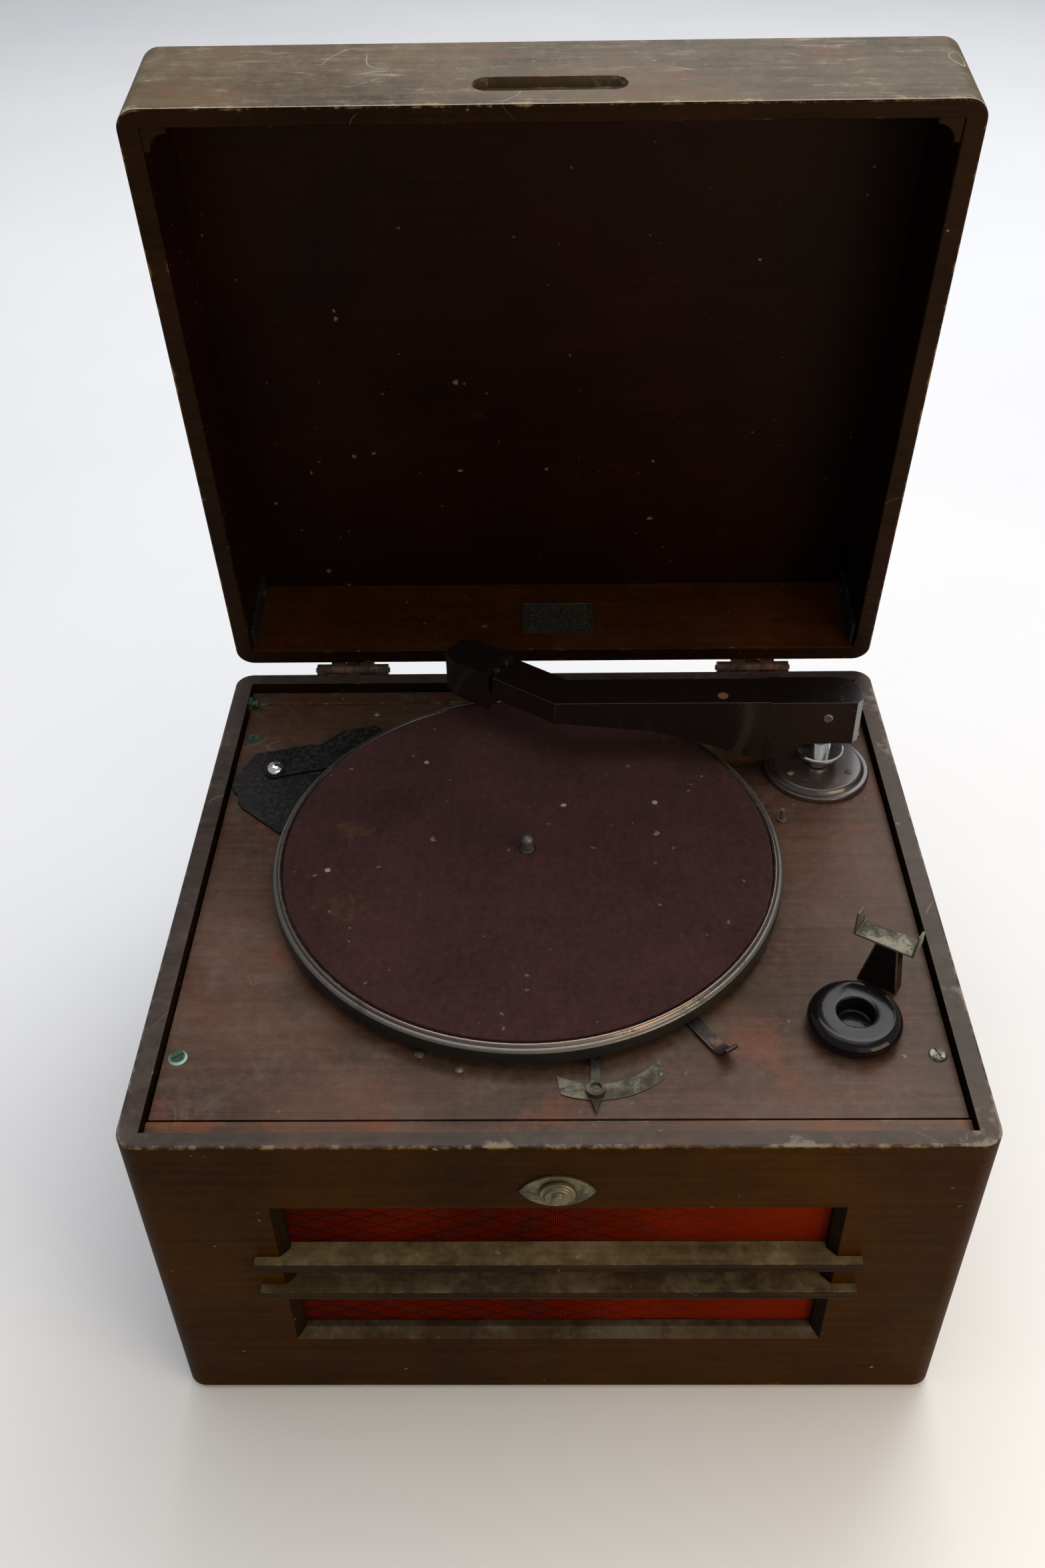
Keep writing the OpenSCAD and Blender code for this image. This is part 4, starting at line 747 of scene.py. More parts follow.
RIM_KNOCKS = (((0.209, -0.188, 0.239), 0.03), ((0.214, 0.16, 0.239), 0.03), ((0.218, 0.112, 0.239), 0.02),
              ((0.216, -0.1, 0.239), 0.016), ((0.12, -0.195, 0.239), 0.02), ((-0.03, -0.195, 0.239), 0.012))
# Places along the platter's front edge where the board takes a painted shadow of the platter's rim.
PLATTER_MIDDLE = (-0.016, 0.0075)
PLATTER_SHADOW_RADIUS = 0.157
PLATTER_SHADOW_REACH = 0.034
PLATTER_SHADOW = tuple(
    ((PLATTER_MIDDLE[0] + PLATTER_SHADOW_RADIUS * math.sin(turn), PLATTER_MIDDLE[1] - PLATTER_SHADOW_RADIUS * math.cos(turn),
      DECK * MM), PLATTER_SHADOW_REACH) for turn in (-0.9, -0.6, -0.3, 0.0, 0.3, 0.6, 0.9))

CASE_WOOD = Veneer(
    "case_veneer", "walnut", tint(28, 16, 2), tint(61, 38, 6), tint(112, 84, 36), edge_wear=0.3,
    scratching=0.14, figure=0.35, flush=tint(84, 46, 10), flush_share=0.05, rough=0.5, gloss=0.03,
    motes=0.25, polish=(1.0, 0.66, 0.3, 1.0))
INNER_WOOD = Veneer(
    "inner_wood", "walnut", tint(14, 9, 6), tint(34, 23, 15), tint(70, 54, 38), scratching=0.2,
    blotches=0.6, figure=0.4, rough=0.7, gloss=0.04)
LEDGE_WOOD = Veneer(
    "ledge_wood", "walnut", tint(38, 29, 20), tint(72, 60, 46), tint(118, 108, 90), tint(88, 81, 70),
    Grain.ACROSS_X, dusting=0.9, scratching=0.2, figure=0.3, rough=0.7, gloss=0.05)
RIM_WOOD = Veneer(
    "rim_wood", "walnut", tint(38, 30, 28), tint(72, 61, 58), tint(128, 119, 110), grain=Grain.ACROSS_X,
    edge_wear=0.22, strip_wear=0.26, dusting=0.3, scratching=0.6, blotches=0.7, figure=0.3,
    flush=tint(84, 52, 38), flush_share=0.3, rough=0.4, coat=0.05, gloss=0.22, knocks=RIM_KNOCKS)
# The sill is painted darker towards the back, as shade under the open lid.
SILL_WOOD = Veneer(
    "sill_wood", "walnut", tint(56, 38, 29), tint(106, 75, 59), tint(146, 130, 114), grain=Grain.ACROSS_X,
    strip_wear=0.45, dusting=0.3, scratching=0.5, blotches=0.7, figure=0.4, flush=tint(116, 62, 34),
    flush_share=0.45, rough=0.4, coat=0.1, gloss=0.2, back_shade=0.7)
# The board is painted darker towards the back, as shade under the open lid, and takes a painted shadow in
# front of the platter.
BOARD_WOOD = Veneer(
    "board_wood", "board", tint(46, 31, 24), tint(98, 70, 57), tint(132, 112, 96), grain=Grain.ACROSS_X,
    strip_wear=0.4, dusting=0.35, scratching=0.35, blotches=0.7, figure=0.35, flush=tint(104, 56, 38),
    flush_share=0.36, rough=0.44, coat=0.1, gloss=0.2, back_shade=0.6, shade_tone=tint(50, 40, 26),
    grime_and_shade=PLATTER_SHADOW)
LID_FRONT_WOOD = Veneer(
    "lid_front_veneer", "walnut", tint(58, 48, 35), tint(108, 92, 70), tint(174, 164, 140),
    tint(124, 118, 102), block=LID_BLOCK, edge_wear=0.6, strip_wear=0.5, dusting=0.5, scratching=0.55,
    blotches=0.8, figure=0.45, flush=tint(96, 60, 38), flush_share=0.4, rough=0.55, coat=0.1, gloss=0.1,
    scuffs=0.6, motes=0.8)
LID_WOOD = Veneer(
    "lid_veneer", "walnut", tint(20, 11, 4), tint(50, 31, 14), tint(112, 92, 64), block=LID_BLOCK,
    edge_wear=0.4, scratching=0.35, figure=0.35, gloss=0.1, motes=0.25)
LID_TOP_WOOD = Veneer(
    "lid_top_veneer", "walnut", tint(30, 18, 8), tint(74, 47, 25), tint(122, 100, 70), grain=Grain.ACROSS_X,
    block=LID_BLOCK, edge_wear=0.45, strip_wear=0.5, scratching=0.5, figure=0.45, coat=0.1, gloss=0.2)
LID_RIM_WOOD = Veneer(
    "lid_rim_wood", "walnut", tint(15, 8, 3), tint(42, 26, 12), tint(116, 96, 66), grain=Grain.ACROSS_X,
    block=LID_BLOCK, edge_wear=0.3, strip_wear=0.22, dusting=0.1, figure=0.4, gloss=0.06, motes=0.2)
LID_INSIDE_WOOD = Veneer(
    "lid_inside_wood", "walnut", tint(14, 6, 5), tint(32, 15, 12), tint(60, 44, 36), tint(104, 90, 82),
    Grain.ACROSS_X, LID_BLOCK, strip_wear=0.1, scratching=0.15, figure=0.3, rough=0.5, gloss=0.08, motes=0.4)
LID_BACK_WOOD = Veneer(
    "lid_back_wood", "walnut", tint(30, 14, 5), tint(70, 38, 15), tint(84, 62, 40), tint(90, 78, 70),
    block=LID_BLOCK, strip_wear=0.1, scratching=0.2, figure=0.4, rough=0.45, gloss=0.1)
RAW_WOOD = Veneer(
    "raw_softwood", "softwood", tint(120, 88, 54), tint(176, 140, 96), tint(190, 160, 118), strip_wear=0.5,
    dusting=0.6, scratching=0.2, blotches=0.3, rough=0.75)
BACK_WOOD = Veneer(
    "back_panel_wood", "softwood", tint(60, 42, 27), tint(110, 82, 54), tint(150, 124, 88), strip_wear=0.5,
    dusting=0.4, scratching=0.4, blotches=0.3, rough=0.7)
SLAT_WOOD = Veneer(
    "slat_wood", "slat", tint(52, 43, 28), tint(112, 96, 67), tint(158, 144, 110), tint(134, 121, 92),
    Grain.ACROSS_X, strip_wear=0.4, dusting=0.9, blotches=0.6, figure=0.45, rough=0.6, gloss=0.08, motes=0.7)
# The lower slat's top: the dusty slat wood painted darker, as shade under the upper slat.
SHADED_SLAT_WOOD = Veneer(
    "shaded_low_slat_wood", "slat", tint(40, 32, 20), tint(88, 75, 54), tint(158, 144, 110), tint(112, 101, 78),
    Grain.ACROSS_X, strip_wear=0.5, dusting=0.8, blotches=0.6, rough=0.6, gloss=0.08)
SLAT_FACE_WOOD = Veneer(
    "slat_face_wood", "slat", tint(18, 12, 6), tint(46, 34, 20), tint(150, 136, 104), grain=Grain.ACROSS_X,
    strip_wear=0.5, dusting=0.3, blotches=0.9, rough=0.6, gloss=0.06, motes=0.3)
RED_CLOTH = Cloth("red_cloth", "cloth", tint(98, 30, 10), tint(28, 7, 2), tint(116, 36, 13))
PLUM_FELT = Felt(
    "plum_felt", "felt", tint(74, 47, 47), tint(42, 25, 26), tint(168, 154, 142), tint(100, 74, 44),
    spilt=(((-0.117, 0.02, 0.248), 0.04), ((-0.121, -0.045, 0.248), 0.03)),
    fluff=(((0.006, 0.046, 0.248), 0.003), ((0.062, 0.048, 0.248), 0.0034),
           ((-0.081, 0.088, 0.248), 0.0028), ((-0.133, -0.01, 0.248), 0.003)))
SKIRT_ENAMEL = Metal(
    "skirt_enamel", "platter_metal", tint(40, 40, 39), tint(22, 22, 22), 0.4, 40.0, 0.34, metallic=0.3)
RIM_ENAMEL = Metal("rim_enamel", "platter_metal", tint(96, 93, 88), tint(58, 56, 52), 0.35, 50.0, 0.3)
RIM_BEAD = Metal(
    "rim_bead", "platter_metal", tint(116, 100, 94), tint(70, 54, 50), 0.35, 50.0, 0.2, metallic=0.9)
BRIGHT_METAL = Metal(
    "old_chrome", "bright", tint(226, 226, 224), tint(120, 116, 110), 0.15, 120.0, 0.1, metallic=1.0,
    depth=0.03)
DULL_STEEL = Metal(
    "dull_steel", "bright", tint(128, 122, 116), tint(62, 56, 54), scale=120.0, rough=0.3, metallic=0.8)
DULL_BRONZE = Metal(
    "dull_bronze", "bronze", tint(104, 98, 74), tint(50, 50, 38), scale=70.0, rough=0.36, metallic=0.8,
    bloom=tint(76, 84, 70))
SCALE_BRONZE = Metal(
    "scale_bronze", "bronze", tint(98, 92, 76), tint(54, 50, 42), scale=90.0, rough=0.45, metallic=0.5,
    bloom=tint(70, 72, 66), bloom_share=0.35)
STEM_BRONZE = Metal(
    "stem_bronze", "bronze", tint(58, 52, 46), tint(28, 25, 23), scale=90.0, bloom=tint(46, 48, 42))
DARK_PLAQUE = Metal(
    "dark_plaque", "bronze", tint(44, 42, 26), tint(16, 16, 10), share=0.7, rough=0.5, metallic=0.4,
    bloom=tint(40, 48, 30), bloom_share=0.2)
PALE_GREEN_BRASS = Metal(
    "pale_green_brass", "hardware", tint(160, 170, 146), tint(96, 120, 108), share=0.5, scale=120.0,
    metallic=0.8, bloom=tint(150, 206, 194), bloom_share=0.8)
DARK_GREEN_BRASS = Metal(
    "dark_green_brass", "hardware", tint(78, 80, 62), tint(34, 40, 34), scale=120.0, rough=0.45,
    metallic=0.7, bloom=tint(28, 82, 68), bloom_share=0.6)
GREY_SCREW = Metal(
    "grey_screw", "hardware", tint(128, 122, 110), tint(66, 62, 56), scale=140.0, metallic=0.8,
    bloom=tint(88, 84, 76))
OLD_BRASS = Metal(
    "old_brass", "hardware", tint(86, 62, 50), tint(42, 30, 25), scale=80.0, rough=0.45,
    bloom=tint(78, 76, 60), bloom_share=0.25)
PLATE_METAL = Metal(
    "plate_metal", "dark_metal", tint(42, 40, 40), tint(20, 18, 19), scale=40.0, bloom=tint(40, 46, 42),
    bloom_share=0.2)
CRADLE_METAL = Metal(
    "cradle_metal", "dark_metal", tint(104, 98, 84), tint(60, 56, 46), rough=0.42, bloom=tint(66, 74, 56),
    bloom_share=0.25)
LEVER_METAL = Metal(
    "lever_metal", "dark_metal", tint(92, 74, 64), tint(36, 26, 23), share=0.75, rough=0.36, metallic=0.7)
CHASSIS_METAL = Metal(
    "chassis_metal", "chassis", tint(172, 172, 168), tint(112, 110, 104), 0.5, 30.0, 0.42, metallic=1.0)
BLACK_RESIN = Moulded(
    "black_resin", "bakelite", tint(24, 20, 22), tint(84, 78, 74), rough=0.12, coat=0.12, dusting=0.12,
    gloss=0.14)
ARM_RESIN = Moulded(
    "arm_resin", "bakelite", tint(25, 20, 19), tint(84, 78, 74), rough=0.2, coat=0.6, dusting=0.08,
    bald=(((0.105, 0.0927, 0.296), 0.006),))
BASE_RESIN = Moulded(
    "base_resin", "bakelite", tint(58, 48, 46), tint(120, 110, 104), rough=0.22, coat=0.45, dusting=0.5)
IRON = Matte("dark_iron", "iron", tint(46, 46, 48), tint(80, 78, 76), rough=0.6, metallic=0.4)
PAPER = Matte("pressed_paper", "paper", tint(44, 38, 34), tint(70, 62, 54), scale=240.0, rough=0.92)
RUBBER = Matte("hard_rubber", "rubber", tint(34, 33, 32), tint(58, 56, 54), scale=160.0, rough=0.75)
VALVE = ValveGlass("valve_glass", "valve_glass", base_top=0.080, getter_low=0.132)


# ---------- mesh building ----------


def box_between(low: Point, high: Point) -> Solid:
    """Starts a mesh as a box.

    Args:
        low: Its lowest corner, at the left and in front.
        high: Its highest corner, at the right and behind.

    Returns:
        The box.
    """
    solid = bmesh.new()
    bmesh.ops.create_cube(solid, size=1.0)
    size = Vector(high) - Vector(low)
    bmesh.ops.scale(solid, vec=size, verts=solid.verts)
    bmesh.ops.translate(solid, vec=Vector(low) + size / 2, verts=solid.verts)
    return solid


def lathe(profile: Sequence[tuple[float, float]], place: Point, steps: int = 96,
          towards: Matrix | None = None) -> Solid:
    """Turns a profile about the Z axis and sets it in its place.

    Args:
        profile: Radius and height of each corner, closed or ending on the axis.
        place: Where the axis' foot goes.
        steps: Number of faces round the piece.
        towards: Turn that the finished piece takes before it is placed.

    Returns:
        The turned solid.
    """
    solid = bmesh.new()
    corners = [solid.verts.new((radius, 0.0, height)) for radius, height in profile]
    edges = [solid.edges.new(pair) for pair in zip(corners, corners[1:])]
    if profile[0][0] > 0.0:
        edges.append(solid.edges.new((corners[-1], corners[0])))
    bmesh.ops.spin(solid, geom=corners + edges, cent=(0, 0, 0), axis=(0, 0, 1), dvec=(0, 0, 0),
                   angle=2 * math.pi, steps=steps, use_merge=True, use_duplicate=False)
    bmesh.ops.remove_doubles(solid, verts=solid.verts, dist=1e-4)
    bmesh.ops.recalc_face_normals(solid, faces=solid.faces)
    bmesh.ops.transform(solid, matrix=Matrix.Translation(place) @ (towards or Matrix()), verts=solid.verts)
    return solid


def arc(middle: tuple[float, float], radius: float, start: float, end: float,
        steps: int = 5) -> list[tuple[float, float]]:
    """Lists the corners of a round part of a profile.

    Args:
        middle: Radius and height of its centre.
        radius: Its own radius.
        start: Angle that it starts at, in degrees.
        end: Angle that it ends at.
        steps: Number of sides.

    Returns:
        Radius and height of each corner.
    """
    turns = [math.radians(start + (end - start) * step / steps) for step in range(steps + 1)]
    return [(middle[0] + radius * math.cos(turn), middle[1] + radius * math.sin(turn)) for turn in turns]


def ease(solid: Solid, width: float, steps: int = 2, sharper_than: float = 32.0,
         which: Callable[[Edge], bool] = lambda edge: True) -> Solid:
    """Rounds a solid's sharp edges and marks the new strips as worn.

    Args:
        solid: Mesh to work on.
        width: Width that the rounding takes from each side.
        steps: Number of strips across the rounding.
        sharper_than: Least angle between two faces, in degrees, that counts as sharp.
        which: Says whether an edge is rounded.

    Returns:
        The same mesh.
    """
    worn = solid.loops.layers.float.get("worn") or solid.loops.layers.float.new("worn")
    limit = math.radians(sharper_than)
    sharp = [edge for edge in solid.edges
             if edge.is_manifold and edge.calc_face_angle(0.0) > limit and which(edge)]
    done = bmesh.ops.bevel(solid, geom=sharp, offset=width, offset_type="OFFSET", affect="EDGES",
                           segments=steps, profile=0.5, material=-1, clamp_overlap=True)
    for face in done["faces"]:
        for loop in face.loops:
            loop[worn] = 1.0
    return solid


def outer_block(low: float, high: float, corner: float) -> Solid:
    """Starts the case or the lid as a block of the outline with rounded upright corners.

    Args:
        low: Level of its foot.
        high: Level of its top.
        corner: Radius of its corners.

    Returns:
        The block.
    """
    block = box_between((-HALF_WIDTH, -HALF_DEPTH, low), (HALF_WIDTH, HALF_DEPTH, high))
    return ease(block, corner, 8, which=upright)


def unworn(solid: Solid) -> Solid:
    """Takes the wear off a solid's eased edges, because its big curves aren't rubbed.

    Args:
        solid: Mesh to work on.

    Returns:
        The same mesh.
    """
    worn = solid.loops.layers.float["worn"]
    for face in solid.faces:
        for loop in face.loops:
            loop[worn] = 0.0
    return solid


def sorted_faces(solid: Solid, number: Callable[[Face], int]) -> Solid:
    """Gives each face the number of its finish.

    Args:
        solid: Mesh to work on.
        number: Picks a face's finish.

    Returns:
        The same mesh.
    """
    for face in solid.faces:
        face.material_index = number(face)
    return solid


def linked(name: str, data: bpy.types.ID) -> bpy.types.Object:
    """Makes an object of its data and puts it in the scene.

    Args:
        name: Name of the object.
        data: Mesh, lamp or camera.

    Returns:
        The object.
    """
    made = bpy.data.objects.new(name, data)
    bpy.context.scene.collection.objects.link(made)
    return made


def carved(solid: Solid, *cutters: Solid) -> Solid:
    """Cuts solids out of another, and tidies the flat faces that are left.

    Args:
        solid: Mesh to cut into; it is used up.
        cutters: Meshes to take away; they are used up too.

    Returns:
        A new mesh.
    """
    stand_ins = []
    for mesh in (solid, *cutters):
        data = bpy.data.meshes.new("stock")
        mesh.to_mesh(data)
        mesh.free()
        stand_ins.append(linked("stock", data))
    block = stand_ins[0]
    for cutter in stand_ins[1:]:
        change = block.modifiers.new("cut", "BOOLEAN")
        change.operation = "DIFFERENCE"
        change.solver = "EXACT"
        change.object = cutter
    ready = block.evaluated_get(bpy.context.evaluated_depsgraph_get())
    data = bpy.data.meshes.new_from_object(ready)
    result = bmesh.new()
    result.from_mesh(data)
    for stand_in in stand_ins:
        mesh = stand_in.data
        bpy.data.objects.remove(stand_in)
        bpy.data.meshes.remove(mesh)
    bpy.data.meshes.remove(data)
    return flattened(result)


def flattened(solid: Solid) -> Solid:
    """Merges doubled corners and dissolves the edges that lie inside flat faces.

    Args:
        solid: Mesh to work on.

    Returns:
        The same mesh.
    """
    bmesh.ops.remove_doubles(solid, verts=solid.verts, dist=2e-3)
    bmesh.ops.dissolve_limit(solid, angle_limit=math.radians(0.6), verts=solid.verts, edges=solid.edges)
    return solid


def copy_of(node: str) -> Solid:
    """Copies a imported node's mesh into the cabinet's millimetres, merged and flat.

    Args:
        node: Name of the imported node.

    Returns:
        The copy.
    """
    solid = bmesh.new()
    solid.from_mesh(frame["nodes"][node].data)
    for layers in (solid.verts.layers, solid.loops.layers):
        for kind in (layers.float, layers.float_vector, layers.int):
            for layer in list(kind.values()):
                kind.remove(layer)
    bmesh.ops.transform(solid, matrix=TO_FRAME.inverted(), verts=solid.verts)
    return flattened(solid)


def piece(name: str, solid: Solid, body: str, finishes: Finish | Sequence[Finish],
          replaced: Sequence[str] = (), crease: float = 40.0) -> bpy.types.Object:
    """Makes a finished object of a mesh and hands it to the frame.

    Args:
        name: Name of the piece.
        solid: Mesh in the cabinet's millimetres; it is used up.
        body: Body that the piece rides on.
        finishes: Finish of the piece, or one for each material number of its faces.
        replaced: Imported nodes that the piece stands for.
        crease: Least angle, in degrees, of an edge that stays sharp in the shading.

    Returns:
        The object.
    """
    finishes = (finishes,) if isinstance(finishes, Finish) else tuple(finishes)
    bmesh.ops.transform(solid, matrix=TO_FRAME, verts=solid.verts)
    data = bpy.data.meshes.new(name)
    solid.to_mesh(data)
    solid.free()
    if "custom_normal" in data.attributes:
        data.attributes.remove(data.attributes["custom_normal"])
    data.shade_smooth()
    data.set_sharp_from_angle(angle=math.radians(crease))
    for finish in finishes:
        data.materials.append(finish.material())
    made = linked(name, data)
    made.modifiers.new("flat_faces", "WEIGHTED_NORMAL").keep_sharp = True
    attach(made, body)
    if replaced:
        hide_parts(*replaced)
    LOG.info("%s: %d faces, rides on %s", name, len(data.polygons), body)
    return made


def eased_copy(node: str, finish: Finish, width: float = 0.3, steps: int = 2) -> bpy.types.Object:
    """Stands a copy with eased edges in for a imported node.

    Args:
        node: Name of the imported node.
        finish: Finish of the copy.
        width: Width of its rounded edges.
        steps: Number of strips across each.

    Returns:
        The copy.
    """
    body = frame["nodes"][node]["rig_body"]
    return piece(node + ".eased", ease(copy_of(node), width, steps), body, finish, (node,))


def dress(nodes: Iterable[str], finish: Finish) -> None:
    """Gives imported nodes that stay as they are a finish.

    Args:
        nodes: Names of the nodes.
        finish: Finish that they take.
    """
    for node in nodes:
        for slot in frame["nodes"][node].material_slots:
            slot.material = finish.material()
        LOG.info("%s: packed solid, finished in %s", node, finish.name)


# ---------- sub-assemblies ----------


class CaseFace(IntEnum):
    """Finishes of the case's faces."""

    OUTSIDE = 0
    RIM = 1
    LEDGE = 2
    INSIDE = 3


@dataclass
class Case:
    """The wooden case: walls with rounded corners, grille mouth, back and feet."""

    corner: float = 11.5
    rim_round: float = 1.6
    edge_round: float = 0.6
    ledge_above: float = 13.0
    front_wall: float = 9.0
    back_opening_top: float = 179.0
    mouth: tuple[float, float] = (297.0, 130.0)
    mouth_foot: float = 57.0
    mouth_bevel: float = 5.0
    knob_level: float = 203.0
    knob_hole: float = 4.0

    def walls(self) -> Solid:
        """Builds the four walls in one piece, as the veneered case shows them.

        Returns:
            The walls, with their faces sorted by finish.
        """
        block = unworn(outer_block(FOOT, RIM, self.corner))
        shell = carved(block, self.hollow(), self.mouth_cutter(), self.knob_cutter())
        ease(shell, self.rim_round, 3, which=lambda edge: at_level(edge, RIM) and outside(edge))
        ease(shell, self.edge_round, 2)
        return sorted_faces(shell, self.finish_of)

    def finish_of(self, face: Face) -> CaseFace:
        """Sorts a face: outside, rim, dusty ledge of the grille mouth, or inside it and the room.

        Args:
            face: Face of the walls.

        Returns:
            Its finish.
        """
        middle = face.calc_center_median()
        if face.normal.z > 0.6:
            if middle.z > RIM - 4.0:
                return CaseFace.RIM
            return CaseFace.LEDGE if middle.z > self.ledge_above else CaseFace.OUTSIDE
        behind = middle.y + HALF_DEPTH
        width, height = self.mouth
        above = middle.z - self.mouth_foot
        in_mouth = 0.8 < behind < self.front_wall and abs(middle.x) < width / 2 and 0.0 < above < height
        return CaseFace.INSIDE if in_mouth or in_room(middle, self.front_wall) else CaseFace.OUTSIDE

    def hollow(self) -> Solid:
        """Builds the room inside, open above, below and low at the back.

        Returns:
            The cutter.
        """
        room = box_between((-INNER_X, -HALF_DEPTH + self.front_wall, FOOT - 2.0),
                           (INNER_X, INNER_BACK, RIM + 2.0))
        bmesh.ops.bisect_plane(room, geom=room.verts[:] + room.edges[:] + room.faces[:],
                               plane_co=(0.0, 0.0, self.back_opening_top), plane_no=(0.0, 0.0, 1.0))
        rear = [face for face in room.faces
                if face.normal.y > 0.9 and face.calc_center_median().z < self.back_opening_top]
        grown = bmesh.ops.extrude_face_region(room, geom=rear)["geom"]
        moved = [part for part in grown if isinstance(part, bmesh.types.BMVert)]
        bmesh.ops.delete(room, geom=rear, context="FACES_KEEP_BOUNDARY")
        bmesh.ops.translate(room, vec=(0.0, SIDE_WALL + 2.0, 0.0), verts=moved)
        return room

    def mouth_cutter(self) -> Solid:
        """Builds the grille mouth's cutter, wide at the face and straight behind its bevel.

        Returns:
            The cutter.
        """
        width, height = self.mouth
        bevel, foot, face = self.mouth_bevel, self.mouth_foot, -HALF_DEPTH
        cutter = box_between((-width / 2 + bevel, face - 1.0, foot + bevel),
                             (width / 2 - bevel, face + 30.0, foot + height - bevel))
        bmesh.ops.bisect_plane(cutter, geom=cutter.verts[:] + cutter.edges[:] + cutter.faces[:],
                               plane_co=(0.0, face + bevel, 0.0), plane_no=(0.0, 1.0, 0.0))
        reach = bevel + 1.0
        middle = foot + height / 2
        for corner in cutter.verts:
            if corner.co.y < face:
                corner.co.x += math.copysign(reach, corner.co.x)
                corner.co.z += math.copysign(reach, corner.co.z - middle)
        return cutter

    def knob_cutter(self) -> Solid:
        """Builds the cutter of the volume control's hole."""
        return lathe([(0.0, 0.0), (self.knob_hole, 0.0), (self.knob_hole, 20.0), (0.0, 20.0)],
                     (0.0, -HALF_DEPTH - 5.0, self.knob_level), 32, BACKWARD)

    def build(self) -> None:
        """Builds and dresses the case."""
        piece("case_walls", self.walls(), "cabinet", (CASE_WOOD, RIM_WOOD, LEDGE_WOOD, INNER_WOOD),
              ("front_panel", "side_panels", "corner_posts", "rear_rail"))
        eased_copy("deck_sills", SILL_WOOD, 0.5)
        eased_copy("motor_board", BOARD_WOOD, 0.5)
        eased_copy("back_panel", BACK_WOOD, 0.4, 1)
        eased_copy("bottom_board", RAW_WOOD, 0.6)
        eased_copy("feet", RUBBER, 1.2, 3)
        dress(("glue_blocks", "baffle_board"), RAW_WOOD)


def upright(edge: Edge) -> bool:
    """Says whether an edge stands upright."""
    run = edge.verts[1].co - edge.verts[0].co
    return abs(run.z) > 0.99 * run.length


def at_level(edge: Edge, level: float) -> bool:
    """Says whether both ends of an edge lie at a level."""
    return all(abs(end.co.z - level) < 0.01 for end in edge.verts)


def outside(edge: Edge) -> bool:
    """Says whether an edge lies on the outline of the case, and not inside its walls."""
    middle = (edge.verts[0].co + edge.verts[1].co) / 2
    return abs(middle.x) > INNER_X + 0.1 or abs(middle.y) > HALF_DEPTH - 5.0


def in_room(place: Vector, front_wall: float) -> bool:
    """Says whether a face's middle lies in the room that the case's or the lid's walls enclose.

    Args:
        place: Middle of the face.
        front_wall: Thickness of the front wall.

    Returns:
        True if it lies in the room or on one of its walls.
    """
    slack = 0.3
    behind = place.y + HALF_DEPTH
    return front_wall - slack < behind < INNER_BACK + HALF_DEPTH + slack and abs(place.x) < INNER_X + slack


class LidFace(IntEnum):
    """Finishes of the lid's faces."""

    OUTSIDE = 0
    FRONT = 1
    TOP = 2
    RIM = 3
    INSIDE = 4
    BACK = 5


